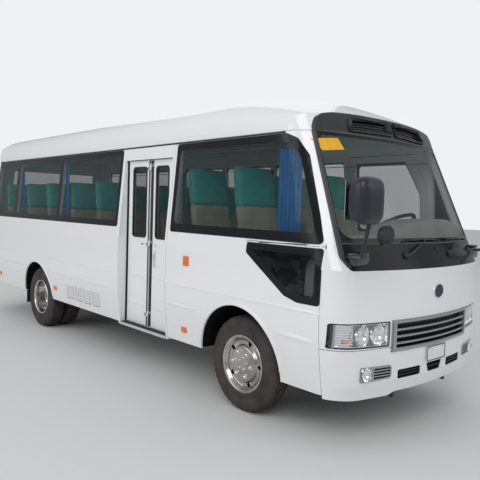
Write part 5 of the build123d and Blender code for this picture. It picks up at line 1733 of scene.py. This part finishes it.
# chrome pull and round lock on the front leaf
bm = bmesh.new()
tube_mesh(bm, [(-0.9135, at(2.460), 1.046), (-0.9260, at(2.460), 1.058),
               (-0.9285, at(2.460), 1.085), (-0.9285, at(2.460), 1.155),
               (-0.9260, at(2.460), 1.182), (-0.9135, at(2.460), 1.194)], 0.0068, sides=14)
box_mesh(bm, (-0.9215, at(2.4490), 1.036), (-0.9118, at(2.4710), 1.066), 0.004, 3)
box_mesh(bm, (-0.9215, at(2.4490), 1.174), (-0.9118, at(2.4710), 1.204), 0.004, 3)
pull = finish_mesh("h", bm, "chrome", None, angle=50)
bm = bmesh.new()
lathe_mesh(bm, [(0, 0.0), (0.0, 0.017), (0.003, 0.0165), (0.005, 0.0135), (0.005, 0.008),
                (0.0035, 0.0075), (0.0035, 0)],
           (-0.9122, at(2.452), 1.252), -1, 28)
lock = finish_mesh("h", bm, "chrome", None, angle=40)
o = join_objects("door_pull", [pull, lock], "body")
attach(o, front_leaf)

# hinge plates over the joint of the two leaves, one half on each
for body, tag, lo, hi, zoff in ((rear_leaf, "rear", 2.5785, 2.6220, 0.014),
                                (front_leaf, "front", 2.5060, 2.5495, 0.0425)):
    objs = []
    for z in (0.540, 1.236, 1.980):
        bm = bmesh.new()
        box_mesh(bm, (-0.9165, at(lo), z + zoff - 0.0135), (-0.9118, at(hi), z + zoff + 0.0135),
                 0.0014, 2)
        for zz in (z + zoff - 0.006, z + zoff + 0.006):
            lathe_mesh(bm, [(0, 0.0), (0.0, 0.0034), (0.0014, 0.0030), (0.0022, 0.0)],
                       (-0.9164, at((lo + hi) / 2), zz), -1, 12)
        objs.append(finish_mesh("h", bm, "chrome_dark", None, angle=40))
    o = join_objects("door_hinge_" + tag, objs, "body")
    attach(o, body)

# jamb seals, step edge and treads
bm = bmesh.new()
for lo, hi in ((2.1465, 2.1530), (2.9750, 2.9815)):
    box_mesh(bm, (-0.9240, at(lo), 0.432), (-0.8860, at(hi), 2.082), 0.0015, 2)
box_mesh(bm, (-0.9240, at(2.150), 2.0785), (-0.8860, at(2.978), 2.0850), 0.0015, 2)
finish_mesh("doorway_seals", bm, "rubber", "body", angle=40)
treads = []
bm = bmesh.new()
box_mesh(bm, (-0.9845, at(2.153), 0.4295), (-0.9160, at(2.976), 0.4318), 0.0008, 1)
treads.append(finish_mesh("t", bm, "rubber", None, angle=40))
bm = bmesh.new()
for k in range(5):
    x = -0.978 + 0.0135 * k
    box_mesh(bm, (x, at(2.158), 0.4310), (x + 0.005, at(2.971), 0.4336), 0.0008, 1)
for k in range(16):
    x = -0.835 + 0.024 * k
    box_mesh(bm, (x, at(2.160), 0.4300), (x + 0.010, at(2.968), 0.4326), 0.0008, 1)
treads.append(finish_mesh("t", bm, "rubber", None, angle=40))
bm = bmesh.new()
box_mesh(bm, (-0.9860, at(2.153), 0.4060), (-0.9830, at(2.976), 0.4330), 0.001, 1)
treads.append(finish_mesh("t", bm, "step", None, angle=40))
join_objects("step_treads", treads, "body")

# ---------------------------------------------------------------- dash hood, sticker, and roof gutters whose black paints their shadow line
def dash_hood():
    """Padded top of the dash, raised over the instruments."""
    profile = [(-0.86, 1.462), (-0.42, 1.466), (-0.30, 1.500), (-0.15, 1.560), (0.10, 1.588),
               (0.35, 1.597), (0.55, 1.596), (0.70, 1.575), (0.80, 1.530), (0.88, 1.480)]
    bm = bmesh.new()
    rows = []
    n = 64
    for i in range(n + 1):
        x = -0.86 + 1.74 * i / n
        for (xa, za), (xb, zb) in zip(profile, profile[1:]):
            if xa <= x <= xb + 1e-6:
                t = (x - xa) / (xb - xa)
                top = za + (zb - za) * t * t * (3 - 2 * t)
        glass = front(-0.045)(x, top - 0.02).y
        foot = front(-0.045)(x, 1.315).y
        back = at(0.474)
        side = [(foot, 1.308), (glass, top - 0.030), (glass + 0.006, top - 0.010),
                (glass + 0.022, top), (back - 0.030, top - 0.002), (back - 0.008, top - 0.012),
                (back, top - 0.034), (back - 0.004, top - 0.085), (back - 0.010, 1.308)]
        rows.append([bm.verts.new((x, y, z)) for y, z in side])
    skin(bm, rows)
    bmesh.ops.recalc_face_normals(bm, faces=bm.faces)
    return finish_mesh("dash_hood", bm, "dash", "body", angle=40)


dash_hood()
sticker = [(-0.865, 2.152), (-0.816, 2.066), (-0.627, 2.087), (-0.656, 2.170)]
patch("windscreen_sticker", [sticker], on_end(-1, 0.0020, front(0.002), "windscreen"),
      on_end(-1, 0.0012, front(0.001), "windscreen"),
      "sticker", "body", grid=0.05)
gutters = []
for side, tag in ((-1, "right"), (1, "left")):
    panels = ["side_panel_" + tag, "door_surround"] if side < 0 else ["side_panel_" + tag]
    # raised gutter strip in black: the gutter is real, its black is partly painted shadow under the roof's
    # overhang
    run = [(0.760 + (6.700 - 0.760) * i / 60, 2.2035) for i in range(61)]
    gutters.append(strip("g", run, 0.013, on_flank(side, 0.0060, *panels),
                         on_flank(side, -0.001, *panels), "rubber", None, grid=0.1))
join_objects("roof_gutters_shadow_line", gutters, "body")

# ---------------------------------------------------------------- end
bpy.context.scene.view_settings.view_transform = "Standard"
